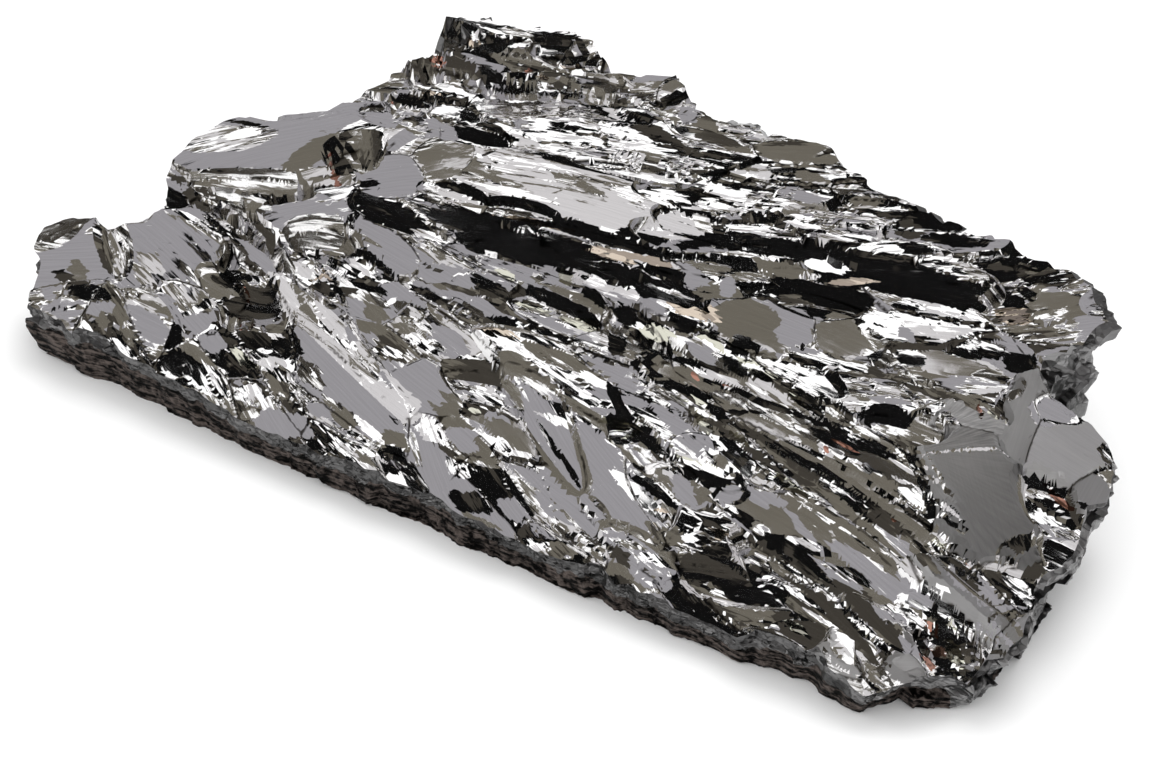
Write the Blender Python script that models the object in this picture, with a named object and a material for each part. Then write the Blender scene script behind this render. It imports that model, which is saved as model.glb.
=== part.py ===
"""Molybdenum ore specimen: a hand-sized broken slab of bright, blade-like crystals.

The slab lies on its flat underside. Its long side runs along X, and the low front edge, where the
layered crust shows, faces -Y. The top is a fan of long crystal faces with steps between them, cut by
a deep furrow and a few pits, with a crest along the back left and a blunt block at the right end.
"""
import bpy
import bmesh
import math
import random
import numpy as np

# Driving dimensions, in millimetres
MM = 0.001
LONG_STEP = 1.05         # spacing of the working grid along the slab
CROSS_STEP = 1.05        # and across it
WALL_LAYERS = 9          # courses of crust up the broken sides
UNDERCUT_FRONT = 0.012   # share by which the underside is drawn in below the low front rim
UNDERCUT_BACK = 0.075    # and how much more below the back
RIM_CHIP = 0.7           # how far small chips move the rim in or out
WORN_SPAN = 5            # grid cells each way over which the rim's teeth are worn down at the foot
WALL_LEDGE = 1.5         # how far the broken layers of the sides stand in or out
WALL_LEAN = 24           # how far each layer leans in or out at most, in degrees
WALL_GRAIN = 2.2         # how many times longer the layers are than they are high
FRONT_LEDGE = 0.25       # share of that on the front, whose crust is even
SEAM = 0.22              # half the width of the step between two faces, as a share of the grid
FACE_TRIANGLES = 9300    # triangles kept for the whole solid
SEED = 42

# The rim seen from above, corner to corner
FRONT_RIM = [(-66.0, -23.6), (-57, -23.6), (-48.3, -23.3), (-36, -23.5), (-25, -23.1), (-12, -22.4),
             (3.6, -21.7), (17, -20.9), (30.7, -20.4), (39, -19.8), (47, -18.9), (54, -20.0),
             (56.4, -15.4), (60.0, -12.4)]
BACK_RIM = [(-49.2, 33.8), (-46.8, 36.8), (-42.2, 41.0), (-38.8, 41.0), (-33.7, 42.4), (-28, 44.0),
            (-23.0, 44.2), (-18.8, 46.4), (-15.0, 45.0), (-12.0, 42.8), (-8.2, 43.0), (-2, 44.2),
            (4.6, 44.6), (9.5, 43.4), (13.5, 41.8), (17.4, 41.2), (24, 41.8), (31.5, 42.3),
            (38, 42.6), (43.6, 41.8), (49.2, 39.2)]
LEFT_RIM = [(-66.0, -23.6), (-67.2, -21.4), (-68.0, -18.6), (-71.4, -16.8), (-71.8, -14.2),
            (-69.6, -11.6), (-65.6, -10.2), (-62.8, -9.2), (-59.0, -5.6), (-60.6, -3.0),
            (-63.4, 0.6), (-63.6, 5.2), (-62.0, 11.4), (-57.0, 14.8), (-52.4, 19.2), (-51.8, 25.4),
            (-50.6, 30.2), (-49.2, 33.8)]
RIGHT_RIM = [(60.0, -12.4), (63.2, -11.0), (64.8, -8.0), (65.0, -2.7), (62.6, 1.4), (63.4, 6.0),
             (63.4, 10.9), (61.6, 15.0), (61.8, 19.4), (60.0, 23.2), (54.6, 25.8), (47.6, 25.8),
             (46.2, 30.2), (48.6, 34.6), (49.2, 39.2)]

# Height of the top, without its crystal faces, at places chosen over the slab: x, y, height
RELIEF = [
    (-66, -21, 4.0), (-48, -22, 3.2), (-25, -22, 2.6), (4, -20, 2.4), (30, -19, 2.2), (54, -17, 2.8),
    (-70, -14, 11.6), (-61, -14, 11.2), (-45, -14, 9.6), (-25, -13, 9.4), (0, -13, 9.2),
    (25, -12, 8.6), (45, -12, 8.2), (61, -9, 6.8),
    (-60, -6, 15.0), (-45, 2, 15.0), (-25, 0, 14.6), (0, 0, 14.4), (20, 0, 13.2), (40, 3, 13.4),
    (54, 4, 12.4), (61, 10, 8.5), (-62, 5, 16.4),
    (-61, 12, 18.2), (-51, 14, 16.8), (-30, 14, 18.0), (-6, 14, 17.6), (18, 14, 17.0),
    (35, 14, 16.2), (49, 18, 15.0), (59, 22, 10.0), (-53, 21, 17.4), (-40, 28, 19.4),
    (-15, 28, 19.5), (10, 28, 18.6), (30, 28, 17.6), (45, 29, 16.0), (56, 28, 11.0), (-47, 35, 19.0),
    (-30, 42, 20.6), (-18, 44, 21.2), (0, 45, 20.8), (20, 42, 21.0), (40, 41, 20.4), (49, 37, 18.6),
]
RELIEF_REACH = 7.5       # how far each place above carries

# Crystal faces: x, y, length, width, heading, lift, roll, pitch.
# The heading is the way the long side points, in degrees from +X. The lift is the height over the
# relief, the roll raises the left side as seen along the heading, and the pitch raises the far end.
FACES = {
    "nose cap": (-69.4, -12.6, 6, 5, 54, 1.4, -8, 0),
    "left disc": (-65.2, -15.8, 9, 8, 23, 0.4, 16, 4),
    "left fan": (-54.6, -9.0, 14, 12, -8, 0.4, 6, -4),
    "left valley": (-61.2, -12.4, 7, 3.4, -32, -0.4, 8, -6),
    "low left heel": (-62.6, -20.4, 8, 5, 40, 0.2, 10, 0),
    "low left step": (-55.6, -19.6, 8, 4.4, -20, 0.4, -8, 0),
    "low left wedge": (-51.4, -17.0, 9, 5.5, 2, 0.5, 10, 5),
    "shoulder": (-54.0, 11.4, 28, 15.5, 50, 0.9, -6, 2),
    "shoulder ledge": (-51.0, 2.6, 19, 3.4, 22, -1.0, 14, 0),
    "copper pit": (-45.0, 13.8, 7, 6.6, 16, -4.2, 0, 0),
    "middle pane": (-43.4, 3.4, 10, 7.4, 45, 0.8, -5, 0),
    "small pane": (-36.8, 12.8, 7, 6, 34, 0.6, 6, 0),
    "left groove": (-50.4, -2.8, 20, 2.8, -8, -2.2, 0, 0),
    "first pit": (-46.8, -6.4, 6, 4.0, 20, -2.8, 0, 0),
    "second pit": (-41.2, -11.0, 8, 6, 10, -3.2, 0, 0),
    "third pit": (-39.2, 0.9, 9, 3.8, 8, -2.6, 0, 0),
    "white prism": (-26.2, -10.2, 22, 2.8, -17, 1.3, 20, 0),
    "first long pane": (-23.2, -14.8, 19, 5.6, -17, 0.0, 5, 0),
    "second long pane": (-15.2, -9.8, 11, 5.4, -12, 0.2, -4, 0),
    "third long pane": (-8.0, -17.2, 9, 4.2, -36, 0.3, 6, 0),
    "fourth long pane": (13.6, -11.6, 22, 5.8, -23, 0.8, -6, 0),
    "fifth long pane": (4.8, -9.0, 20, 3.6, -27, 0.0, 8, 0),
    "pale blade": (6.2, -15.8, 19, 3.4, -16, -0.4, 10, 0),
    "white blade": (0.6, -2.2, 24, 4.6, -7, 0.8, -8, 0),
    "hooked rim": (20.6, -3.4, 15, 3.8, -8, 0.5, 8, 0),
    "hook hollow": (13.4, -5.4, 10, 3.6, -20, -1.6, 0, 0),
    "mottled slope": (-18.0, 2.6, 24, 6.6, -6, 0.2, 6, 0),
    "dark notch": (-9.6, -7.6, 10, 3.6, -2, -1.6, 0, 0),
    "great blade": (-17.2, 21.2, 36, 11.5, 12, 1.0, -3, 0),
    "blade foot": (-33.0, 18.2, 8, 7.4, 48, 0.6, 6, 0),
    "upper blade": (-18.0, 31.6, 34, 10, 18, 0.8, 4, 0),
    "long riser": (-10.2, 11.6, 33, 4.2, 8, -1.6, 12, 0),
    "pale strip": (-8.4, 15.6, 28, 2.6, 9, 0.2, -10, 0),
    "under strip": (-10.0, 7.4, 28, 4.2, 2, 0.4, -8, 0),
    "dark band": (19.8, 28.8, 38, 4.6, 17, -1.4, 12, 0),
    "short dark band": (16.8, 21.8, 15, 3.6, 22, -0.9, 12, 0),
    "bright band": (11.4, 25.0, 20, 3.4, 26, 0.8, -8, 0),
    "flat pane": (16.6, 14.6, 15, 8.2, 5, 0.4, 3, 0),
    "flat disc": (25.2, 18.6, 7, 8, 0, 0.2, 8, 0),
    "upper mottle": (4.4, 34.0, 19, 7.4, 24, 0.5, -9, 0),
    "rim pane": (2.8, 42.4, 9, 6, 30, 0.8, 8, 0),
    "right bright": (31.8, 24.2, 18, 4.6, 28, 0.9, -6, 0),
    "lens pane": (38.2, 20.6, 13, 5.4, 33, 0.2, 9, 0),
    "banded pane": (34.6, 12.6, 15, 5.8, 24, 0.9, 4, 0),
    "far corner": (42.2, 36.4, 13, 11, 44, 0.3, 4, 0),
    "furrow tip": (3.2, 7.6, 12, 4.8, -12, -1.3, -10, -4),
    "furrow bank": (27.0, 6.4, 50, 6.4, -8, -0.8, 15, 0),
    "furrow strip": (12.6, 3.0, 14, 4.0, -8, -1.4, -2, 0),
    "furrow bed": (39.0, 0.9, 34, 5.4, -8, -1.9, 8, 0),
    "furrow speckle": (23.4, -0.2, 19, 4.6, -10, -1.6, 8, 0),
    "olive slab": (39.0, -5.6, 31, 8.2, -9, -1.2, -5, 0),
    "dark lens": (34.4, -10.2, 12, 3.2, -6, -2.2, 0, 0),
    "olive trough": (42.6, -12.6, 24, 3.4, -14, -1.0, 12, 0),
    "ragged patch": (26.2, -11.6, 11, 6.4, 10, 0.7, -6, 0),
    "dark scar": (32.6, -14.8, 11, 4.0, 8, -1.2, 0, 0),
    "crumbled foot": (40.6, -17.4, 18, 3.6, 2, 0.2, 14, 0),
    "small plate": (48.6, -18.0, 7, 4.2, -22, 1.2, 14, 0),
    "end face": (50.4, 6.4, 18, 9.4, -42, 1.4, 8, -5),
    "fan face": (43.6, 15.0, 11, 5.0, 30, 2.2, -8, 0),
    "upright blade": (48.2, 22.0, 14, 4, -72, 1.2, -10, 0),
    "end plate": (55.4, 21.8, 9, 10, 6, 0.8, 0, -4),
    "end striae": (57.8, 12.6, 7, 6, -10, -0.6, 0, 6),
    "end curve": (60.2, 17.2, 9, 4, 100, 0.4, 0, 0),
    "arched band": (57.0, -4.8, 16, 4.6, -14, 1.8, -4, 0),
    "arched lip": (64.0, -7.4, 9, 3.2, -100, 1.6, 0, -8),
    "end hollow": (58.6, -9.2, 9, 6.4, 30, -3.2, 0, -8),
    "end lump": (55.6, -15.4, 6, 4.6, 30, 1.0, 0, 0),
    "crest top": (-36.2, 40.5, 29, 4.8, 20, 5.0, -6, -5),
    "crest brow": (-33.6, 37.2, 28, 2.8, 20, 2.8, 50, -4),
    "crest foot": (-32.8, 34.2, 27, 2.4, 20, -1.2, 10, 0),
    "saddle": (-19.6, 42.6, 7, 7, 30, 0.6, 0, 0),
    "saddle peak": (-17.6, 43.2, 5, 6, 40, 0.8, 8, 0),
    "lens blade": (-42.0, 30.4, 9, 4, 20, 0.9, 4, 0),
    "dark lens blade": (-38.0, 26.6, 8, 3.6, 10, -0.4, 10, 0),
    "crystal nest": (-44.6, 25.2, 5, 5, 30, -1.4, 0, 0),
}

# Small faces between the named ones
FILL_LENGTH = 15.0
FILL_WIDTH = 4.4
FILL_LIFT = 0.6
FILL_ROLL = 14
FILL_PITCH = 3
FILL_CLEARANCE = 0.95    # share of a named face's reach that a small one keeps off


def flow(y):
    """Heading of the crystals: they fan out from the top left, in degrees from +X."""
    return 0.8 * y - 3


def along(points, count):
    """Evenly spread points along a rim line."""
    line = np.array(points, float)
    run = np.concatenate([[0], np.cumsum(np.hypot(*np.diff(line, axis=0).T))])
    place = np.linspace(0, run[-1], count)
    return np.column_stack([np.interp(place, run, line[:, 0]), np.interp(place, run, line[:, 1])])


def chip(line, size, seed):
    """Small chips along a rim line, none at its two corners."""
    rng = np.random.RandomState(seed)
    count = len(line)
    shift = rng.uniform(-size, size, (count, 2))
    shift = shift + np.roll(shift, 1, axis=0) * 0.6
    fade = np.minimum(np.arange(count), np.arange(count)[::-1]).clip(0, 2) / 2
    return line + shift * fade[:, None]


def relief(x, y):
    """Height of the top before its crystal faces, blended between the places of RELIEF."""
    total = np.zeros_like(x)
    weight = np.full_like(x, 1e-9)
    for px, py, height in RELIEF:
        share = np.exp(-((x - px) ** 2 + (y - py) ** 2) / (2 * RELIEF_REACH ** 2))
        total += share * height
        weight += share
    return total / weight


def all_faces():
    """The named faces, with small ones in the flow between them."""
    faces = list(FACES.values())
    rng = random.Random(SEED)
    y = -21.0
    while y < 46:
        x = -72 + rng.uniform(0, FILL_LENGTH)
        while x < 66:
            px = x + rng.uniform(-2, 2)
            py = y + rng.uniform(-1.2, 1.2)
            heading = flow(py) + rng.uniform(-9, 9)
            length = FILL_LENGTH * rng.uniform(0.6, 1.2)
            width = FILL_WIDTH * rng.uniform(0.6, 1.2)
            lift = rng.uniform(-FILL_LIFT, FILL_LIFT)
            roll = rng.uniform(-FILL_ROLL, FILL_ROLL)
            pitch = rng.uniform(-FILL_PITCH, FILL_PITCH)
            crowded = any(reach(face, px, py)[0] < FILL_CLEARANCE for face in FACES.values())
            if not crowded:
                faces.append((px, py, length, width, heading, lift, roll, pitch))
            x += FILL_LENGTH * 0.72
        y += FILL_WIDTH * 0.8
    return faces


def reach(face, x, y):
    """Distance from a face's middle, 1 at its own edge, with the places along and across it."""
    px, py, length, width, heading = face[:5]
    turn = math.radians(heading)
    a = (x - px) * math.cos(turn) + (y - py) * math.sin(turn)
    b = (y - py) * math.cos(turn) - (x - px) * math.sin(turn)
    return np.sqrt((2 * a / length) ** 2 + (2 * b / width) ** 2) + 1e-6, a, b


def nearest_faces(faces, x, y):
    """For each place, the face it lies on and the one across the nearest step."""
    first = np.full(x.shape, 1e9)
    second = np.full(x.shape, 1e9)
    own = np.zeros(x.shape, int)
    other = np.zeros(x.shape, int)
    for index, face in enumerate(faces):
        away = reach(face, x, y)[0]
        nearer = away < first
        next_best = ~nearer & (away < second)
        second = np.where(nearer, first, np.where(next_best, away, second))
        other = np.where(nearer, own, np.where(next_best, index, other))
        first = np.where(nearer, away, first)
        own = np.where(nearer, index, own)
    return own, other, second - first


def slope_of_reach(faces, index, x, y):
    """Direction in which the distance from each place's face grows."""
    px, py, length, width, heading = np.array([face[:5] for face in faces])[index].T
    turn = np.radians(heading)
    cos, sin = np.cos(turn), np.sin(turn)
    a = (x - px) * cos + (y - py) * sin
    b = (y - py) * cos - (x - px) * sin
    ga, gb = 4 * a / length ** 2, 4 * b / width ** 2
    away = np.sqrt((2 * a / length) ** 2 + (2 * b / width) ** 2) + 1e-6
    return (ga * cos - gb * sin) / away, (ga * sin + gb * cos) / away


def draw_to_steps(faces, x, y, step):
    """Moves the places beside a step up to it, so that each step is a clean edge."""
    own, other, gap = nearest_faces(faces, x, y)
    ax, ay = slope_of_reach(faces, own, x, y)
    bx, by = slope_of_reach(faces, other, x, y)
    gx, gy = bx - ax, by - ay
    steep = np.hypot(gx, gy) + 1e-9
    distance = gap / steep
    pull = np.where(distance < 0.5 * step, distance - SEAM * step, 0)
    return x - pull * gx / steep, y - pull * gy / steep, own


def face_height(faces, own, x, y):
    """Height of the top at each place, on the face that owns it."""
    px, py, length, width, heading, lift, roll, pitch = np.array(faces)[own].T
    turn = np.radians(heading)
    a = (x - px) * np.cos(turn) + (y - py) * np.sin(turn)
    b = (y - py) * np.cos(turn) - (x - px) * np.sin(turn)
    reach_b = np.clip(b, -width, width)
    reach_a = np.clip(a, -length, length)
    tilt = np.tan(np.radians(roll)) * reach_b + np.tan(np.radians(pitch)) * reach_a
    return relief(x, y) + lift + tilt


def smooth(line, span):
    """A rim line with its teeth worn down over a span of points, its two corners kept."""
    padded = np.pad(line, ((span, span), (0, 0)), mode="reflect", reflect_type="odd")
    window = np.ones(2 * span + 1) / (2 * span + 1)
    return np.column_stack([np.convolve(padded[:, axis], window, mode="valid") for axis in (0, 1)])


def rim_patch(s, t, worn):
    """Place on the slab for shares s along it and t across it, true to all four rim lines.

    The rim lines are the chipped ones of the top, or the worn ones that the underside follows.
    """
    count_long, count_cross = s.max() + 1, t.max() + 1
    front = chip(along(FRONT_RIM, count_long), RIM_CHIP * 0.5, SEED + 1)
    back = chip(along(BACK_RIM, count_long), RIM_CHIP, SEED + 2)
    left = chip(along(LEFT_RIM, count_cross), RIM_CHIP * 0.6, SEED + 3)
    right = chip(along(RIGHT_RIM, count_cross), RIM_CHIP, SEED + 4)
    if worn:
        back, left, right = (smooth(line, WORN_SPAN) for line in (back, left, right))
    u = (s / (count_long - 1))[:, None]
    v = (t / (count_cross - 1))[:, None]
    corners = ((1 - u) * (1 - v) * front[0] + u * (1 - v) * front[-1]
               + (1 - u) * v * back[0] + u * v * back[-1])
    return (1 - v) * front[s] + v * back[s] + (1 - u) * left[t] + u * right[t] - corners


def undercut(angle):
    """Share by which the underside is drawn in, seen from the middle towards each direction."""
    from_front = 0.5 + 0.5 * np.sin(angle)
    waves = 1 + 0.35 * np.sin(3 * angle + 1) + 0.3 * np.sin(8 * angle)
    return UNDERCUT_FRONT + UNDERCUT_BACK * from_front * waves


def wall_ledge(x, y, z):
    """How far the broken layers of the sides stand out at each place."""
    rng = np.random.RandomState(SEED + 5)
    best = np.full(x.shape, 1e9)
    stand_out = np.zeros_like(x)
    for rim in (FRONT_RIM, BACK_RIM, LEFT_RIM, RIGHT_RIM):
        chunky = FRONT_LEDGE if rim is FRONT_RIM else 1.0
        for px, py in along(rim, round(len(rim) * 1.2)):
            for pz in (2.5, 7.5, 12.5, 17.5):
                cx, cy, cz = np.array((px, py, pz)) + rng.uniform(-2.4, 2.4, 3)
                lift = rng.uniform(-WALL_LEDGE, WALL_LEDGE) * chunky
                lean = math.tan(math.radians(rng.uniform(-WALL_LEAN, WALL_LEAN))) * chunky
                size = rng.uniform(0.7, 1.6)
                away = ((x - cx) ** 2 + (y - cy) ** 2 + (WALL_GRAIN * (z - cz)) ** 2) / size ** 2
                nearer = away < best
                best = np.where(nearer, away, best)
                stand_out = np.where(nearer, lift + lean * (z - cz), stand_out)
    return stand_out


def rough_block(count_long, count_cross):
    """A closed block of square cells: a grid, drawn down, with the wall cut into layers."""
    bm = bmesh.new()
    bmesh.ops.create_grid(bm, x_segments=count_long, y_segments=count_cross, size=0.5)
    sheet = bmesh.ops.extrude_face_region(bm, geom=bm.faces[:])
    raised = [item for item in sheet["geom"] if isinstance(item, bmesh.types.BMVert)]
    bmesh.ops.translate(bm, verts=raised, vec=(0, 0, 1))
    upright = [edge for edge in bm.edges if abs(edge.verts[0].co.z - edge.verts[1].co.z) > 0.5]
    bmesh.ops.subdivide_edges(bm, edges=upright, cuts=WALL_LAYERS - 1)
    bmesh.ops.recalc_face_normals(bm, faces=bm.faces[:])
    return bm


def shape_slab(bm, count_long, count_cross):
    """Carries the block's corners to their places on the specimen."""
    corner = np.array([vert.co[:] for vert in bm.verts])
    s = np.rint((corner[:, 0] + 0.5) * count_long).astype(int)
    t = np.rint((corner[:, 1] + 0.5) * count_cross).astype(int)
    level = corner[:, 2]
    foot = rim_patch(s, t, worn=True)
    sharp = (level ** 2)[:, None]
    place = foot + sharp * (rim_patch(s, t, worn=False) - foot)
    x, y = place[:, 0], place[:, 1]
    faces = all_faces()

    inside = (s > 0) & (s < count_long) & (t > 0) & (t < count_cross) & (level > 0.99)
    moved_x, moved_y, own = draw_to_steps(faces, x, y, min(LONG_STEP, CROSS_STEP))
    x = np.where(inside, moved_x, x)
    y = np.where(inside, moved_y, y)
    top = face_height(faces, own, x, y)

    z = top * level
    out_x, out_y = x - x.mean(), y - y.mean()
    far = np.hypot(out_x, out_y) + 1e-9
    on_wall = (level > 0.01) & (level < 0.99)
    stand_out = np.where(on_wall, wall_ledge(x, y, z), 0)
    drawn_in = undercut(np.arctan2(out_y, out_x)) * (1 - level) ** 1.4 * far
    x = x + out_x / far * (stand_out - drawn_in)
    y = y + out_y / far * (stand_out - drawn_in)
    for vert, px, py, pz in zip(bm.verts, x, y, z):
        vert.co = (px, py, pz)


def stand_on_origin(bm):
    """Puts the middle of the slab's underside at the origin, in metres."""
    place = np.array([vert.co[:] for vert in bm.verts])
    low, high = place.min(axis=0), place.max(axis=0)
    middle = (low + high) / 2
    for vert in bm.verts:
        vert.co = ((vert.co.x - middle[0]) * MM, (vert.co.y - middle[1]) * MM, vert.co.z * MM)


def metal():
    """Bright grey metal with a soft mirror finish."""
    material = bpy.data.materials.new("bright_ore_metal")
    material.use_nodes = True
    shader = material.node_tree.nodes["Principled BSDF"]
    shader.inputs["Base Color"].default_value = (0.62, 0.61, 0.60, 1)
    shader.inputs["Metallic"].default_value = 1.0
    shader.inputs["Roughness"].default_value = 0.18
    return material


def build_specimen():
    """The whole specimen as one closed solid."""
    length = np.ptp(np.array(FRONT_RIM)[:, 0])
    width = np.ptp(np.array(LEFT_RIM)[:, 1])
    count_long = round(length / LONG_STEP)
    count_cross = round(width / CROSS_STEP)
    bm = rough_block(count_long, count_cross)
    shape_slab(bm, count_long, count_cross)
    stand_on_origin(bm)
    bmesh.ops.triangulate(bm, faces=bm.faces[:], quad_method="SHORT_EDGE")
    full = len(bm.faces)
    mesh = bpy.data.meshes.new("ore_specimen")
    bm.to_mesh(mesh)
    bm.free()
    mesh.materials.append(metal())
    specimen = bpy.data.objects.new("ore_specimen", mesh)
    thin = specimen.modifiers.new("fewer flat triangles", "DECIMATE")
    thin.ratio = FACE_TRIANGLES / full
    return specimen


def main():
    for old in list(bpy.data.objects):
        bpy.data.objects.remove(old, do_unlink=True)
    collection = bpy.data.collections.new("molybdenum ore specimen")
    bpy.context.scene.collection.children.link(collection)
    collection.objects.link(build_specimen())


main()
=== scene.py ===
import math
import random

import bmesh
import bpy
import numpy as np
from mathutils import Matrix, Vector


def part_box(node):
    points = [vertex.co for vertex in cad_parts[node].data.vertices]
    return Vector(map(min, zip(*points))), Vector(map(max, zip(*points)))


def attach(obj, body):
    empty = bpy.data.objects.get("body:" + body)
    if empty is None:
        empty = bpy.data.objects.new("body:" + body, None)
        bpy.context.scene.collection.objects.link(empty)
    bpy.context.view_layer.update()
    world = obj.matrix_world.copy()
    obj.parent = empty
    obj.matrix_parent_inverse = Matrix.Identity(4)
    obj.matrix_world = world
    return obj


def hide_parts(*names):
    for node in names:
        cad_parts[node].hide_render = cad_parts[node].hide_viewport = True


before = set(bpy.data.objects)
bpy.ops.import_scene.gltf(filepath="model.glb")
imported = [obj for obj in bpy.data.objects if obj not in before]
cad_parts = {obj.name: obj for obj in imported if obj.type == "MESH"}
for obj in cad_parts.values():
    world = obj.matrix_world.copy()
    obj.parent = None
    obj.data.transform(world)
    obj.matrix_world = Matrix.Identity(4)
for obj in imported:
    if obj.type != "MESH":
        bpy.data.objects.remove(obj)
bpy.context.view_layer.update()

# %% [markdown]
# A hand-sized slab of bright ore
#
# The object is one broken piece of a bright, metallic mineral. It is a low slab that lies on its crusted
# side. Its top is a fan of long crystal faces, each a small mirror, with steps, pits and a deep furrow
# between them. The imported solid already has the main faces. This lesson makes the surface that is seen:
# the same faces at a fine scale, the splinters that break them up, the layered crust, and a finish for
# both. One piece is made, because the real thing grew and broke as one piece.

NODE = "ore_specimen"
MM = 0.001               # the tables below are in millimetres
SEED = 42
FINE_STEP = 0.37         # spacing of the fine grid over the top
ON_TOP = 0.999           # level above which a place belongs to the top and not to the wall below it
NEVER = -9.0             # a value so low that a mark stored on the mesh doesn't show
low, high = (np.array(corner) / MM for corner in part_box(NODE))
print("packed solid, mm:", np.round(high - low, 1))

# %% [markdown]
# The rim
#
# Seen from above the slab is nearly a parallelogram with teeth. Four lines of points hold its edge, in the
# same frame of measures that the solid was drawn in. A line is respaced evenly, so that a grid can hang
# from it, and a seeded random shift chips it.

# %% Rim lines, corner to corner
FRONT_RIM = [(-66.0, -23.6), (-57, -23.6), (-48.3, -23.3), (-36, -23.5), (-25, -23.1), (-12, -22.4),
             (3.6, -21.7), (17, -20.9), (30.7, -20.4), (39, -19.8), (47, -18.9), (54, -20.0),
             (56.4, -15.4), (60.0, -12.4)]
BACK_RIM = [(-49.2, 33.8), (-46.8, 36.8), (-42.2, 41.0), (-38.8, 41.0), (-33.7, 42.4), (-28, 44.0),
            (-23.0, 44.2), (-18.8, 46.4), (-15.0, 45.0), (-12.0, 42.8), (-8.2, 43.0), (-2, 44.2),
            (4.6, 44.6), (9.5, 43.4), (13.5, 41.8), (17.4, 41.2), (24, 41.8), (31.5, 42.3),
            (38, 42.6), (43.6, 41.8), (49.2, 39.2)]
LEFT_RIM = [(-66.0, -23.6), (-67.2, -21.4), (-68.0, -18.6), (-71.4, -16.8), (-71.8, -14.2),
            (-69.6, -11.6), (-65.6, -10.2), (-62.8, -9.2), (-59.0, -5.6), (-60.6, -3.0),
            (-63.4, 0.6), (-63.6, 5.2), (-62.0, 11.4), (-57.0, 14.8), (-52.4, 19.2), (-51.8, 25.4),
            (-50.6, 30.2), (-49.2, 33.8)]
RIGHT_RIM = [(60.0, -12.4), (63.2, -11.0), (64.8, -8.0), (65.0, -2.7), (62.6, 1.4), (63.4, 6.0),
             (63.4, 10.9), (61.6, 15.0), (61.8, 19.4), (60.0, 23.2), (54.6, 25.8), (47.6, 25.8),
             (46.2, 30.2), (48.6, 34.6), (49.2, 39.2)]
COARSE_STEP = 1.05       # spacing at which the large chips sit
RIM_CHIP = 0.7           # how far a large chip moves the rim in or out
CARRIED = 0.6            # share of a chip that its neighbour shares
FRONT_CHIPS, LEFT_CHIPS = 0.5, 0.6    # the front and the left rim are less chipped than the others
FINE_CHIP = 0.16         # how far a crumb moves the wall
WORN_SPAN = 5            # coarse steps each way over which the teeth are worn down at the foot


def along(points, count):
    """Evenly spread points along a rim line."""
    line = np.array(points, float)
    run = np.concatenate([[0], np.cumsum(np.hypot(*np.diff(line, axis=0).T))])
    place = np.linspace(0, run[-1], count)
    return np.column_stack([np.interp(place, run, line[:, 0]), np.interp(place, run, line[:, 1])])


def chip(line, size, seed):
    """Chips along a rim line, none at its two corners."""
    rng = np.random.RandomState(seed)
    count = len(line)
    shift = rng.uniform(-size, size, (count, 2))
    shift = shift + np.roll(shift, 1, axis=0) * CARRIED
    fade = np.minimum(np.arange(count), np.arange(count)[::-1]).clip(0, 2) / 2
    return line + shift * fade[:, None]


def smooth(line, span):
    """A rim line with its teeth worn down over a span of points, its two corners kept."""
    padded = np.pad(line, ((span, span), (0, 0)), mode="reflect", reflect_type="odd")
    window = np.ones(2 * span + 1) / (2 * span + 1)
    return np.column_stack([np.convolve(padded[:, axis], window, mode="valid") for axis in (0, 1)])


LENGTH = np.ptp(np.array(FRONT_RIM)[:, 0])
WIDTH = np.ptp(np.array(LEFT_RIM)[:, 1])
COARSE_LONG = round(LENGTH / COARSE_STEP) + 1
COARSE_CROSS = round(WIDTH / COARSE_STEP) + 1
FRONT = chip(along(FRONT_RIM, COARSE_LONG), RIM_CHIP * FRONT_CHIPS, SEED + 1)
BACK = chip(along(BACK_RIM, COARSE_LONG), RIM_CHIP, SEED + 2)
LEFT = chip(along(LEFT_RIM, COARSE_CROSS), RIM_CHIP * LEFT_CHIPS, SEED + 3)
RIGHT = chip(along(RIGHT_RIM, COARSE_CROSS), RIM_CHIP, SEED + 4)
print("rim points:", len(FRONT), len(BACK), len(LEFT), len(RIGHT))

# %% [markdown]
# A sheet stretched between four lines
#
# A square grid is bent to fill the rim: each of its places is the blend of the two lines across it and the
# two along it, less the blend of the four corners, which would count twice. Every row of the grid then
# ends exactly on the rim, with no trimming and no ragged cells.


# %% From shares of the grid to places on the slab
def read_line(line, share):
    """Place on a line at a share of its length."""
    spot = share * (len(line) - 1)
    return np.column_stack([np.interp(spot, np.arange(len(line)), line[:, axis]) for axis in (0, 1)])


def rim_patch(u, v, lines):
    """Place on the slab for shares u along it and v across it."""
    front, back, left, right = lines
    wide, deep = u[:, None], v[:, None]
    corners = ((1 - wide) * (1 - deep) * front[0] + wide * (1 - deep) * front[-1]
               + (1 - wide) * deep * back[0] + wide * deep * back[-1])
    return ((1 - deep) * read_line(front, u) + deep * read_line(back, u)
            + (1 - wide) * read_line(left, v) + wide * read_line(right, v) - corners)


SHARP_LINES = (FRONT, BACK, LEFT, RIGHT)
WORN_LINES = (FRONT,) + tuple(smooth(line, WORN_SPAN) for line in (BACK, LEFT, RIGHT))
print("middle of the slab:", np.round(rim_patch(np.array([0.5]), np.array([0.5]), SHARP_LINES)[0], 1))
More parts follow.
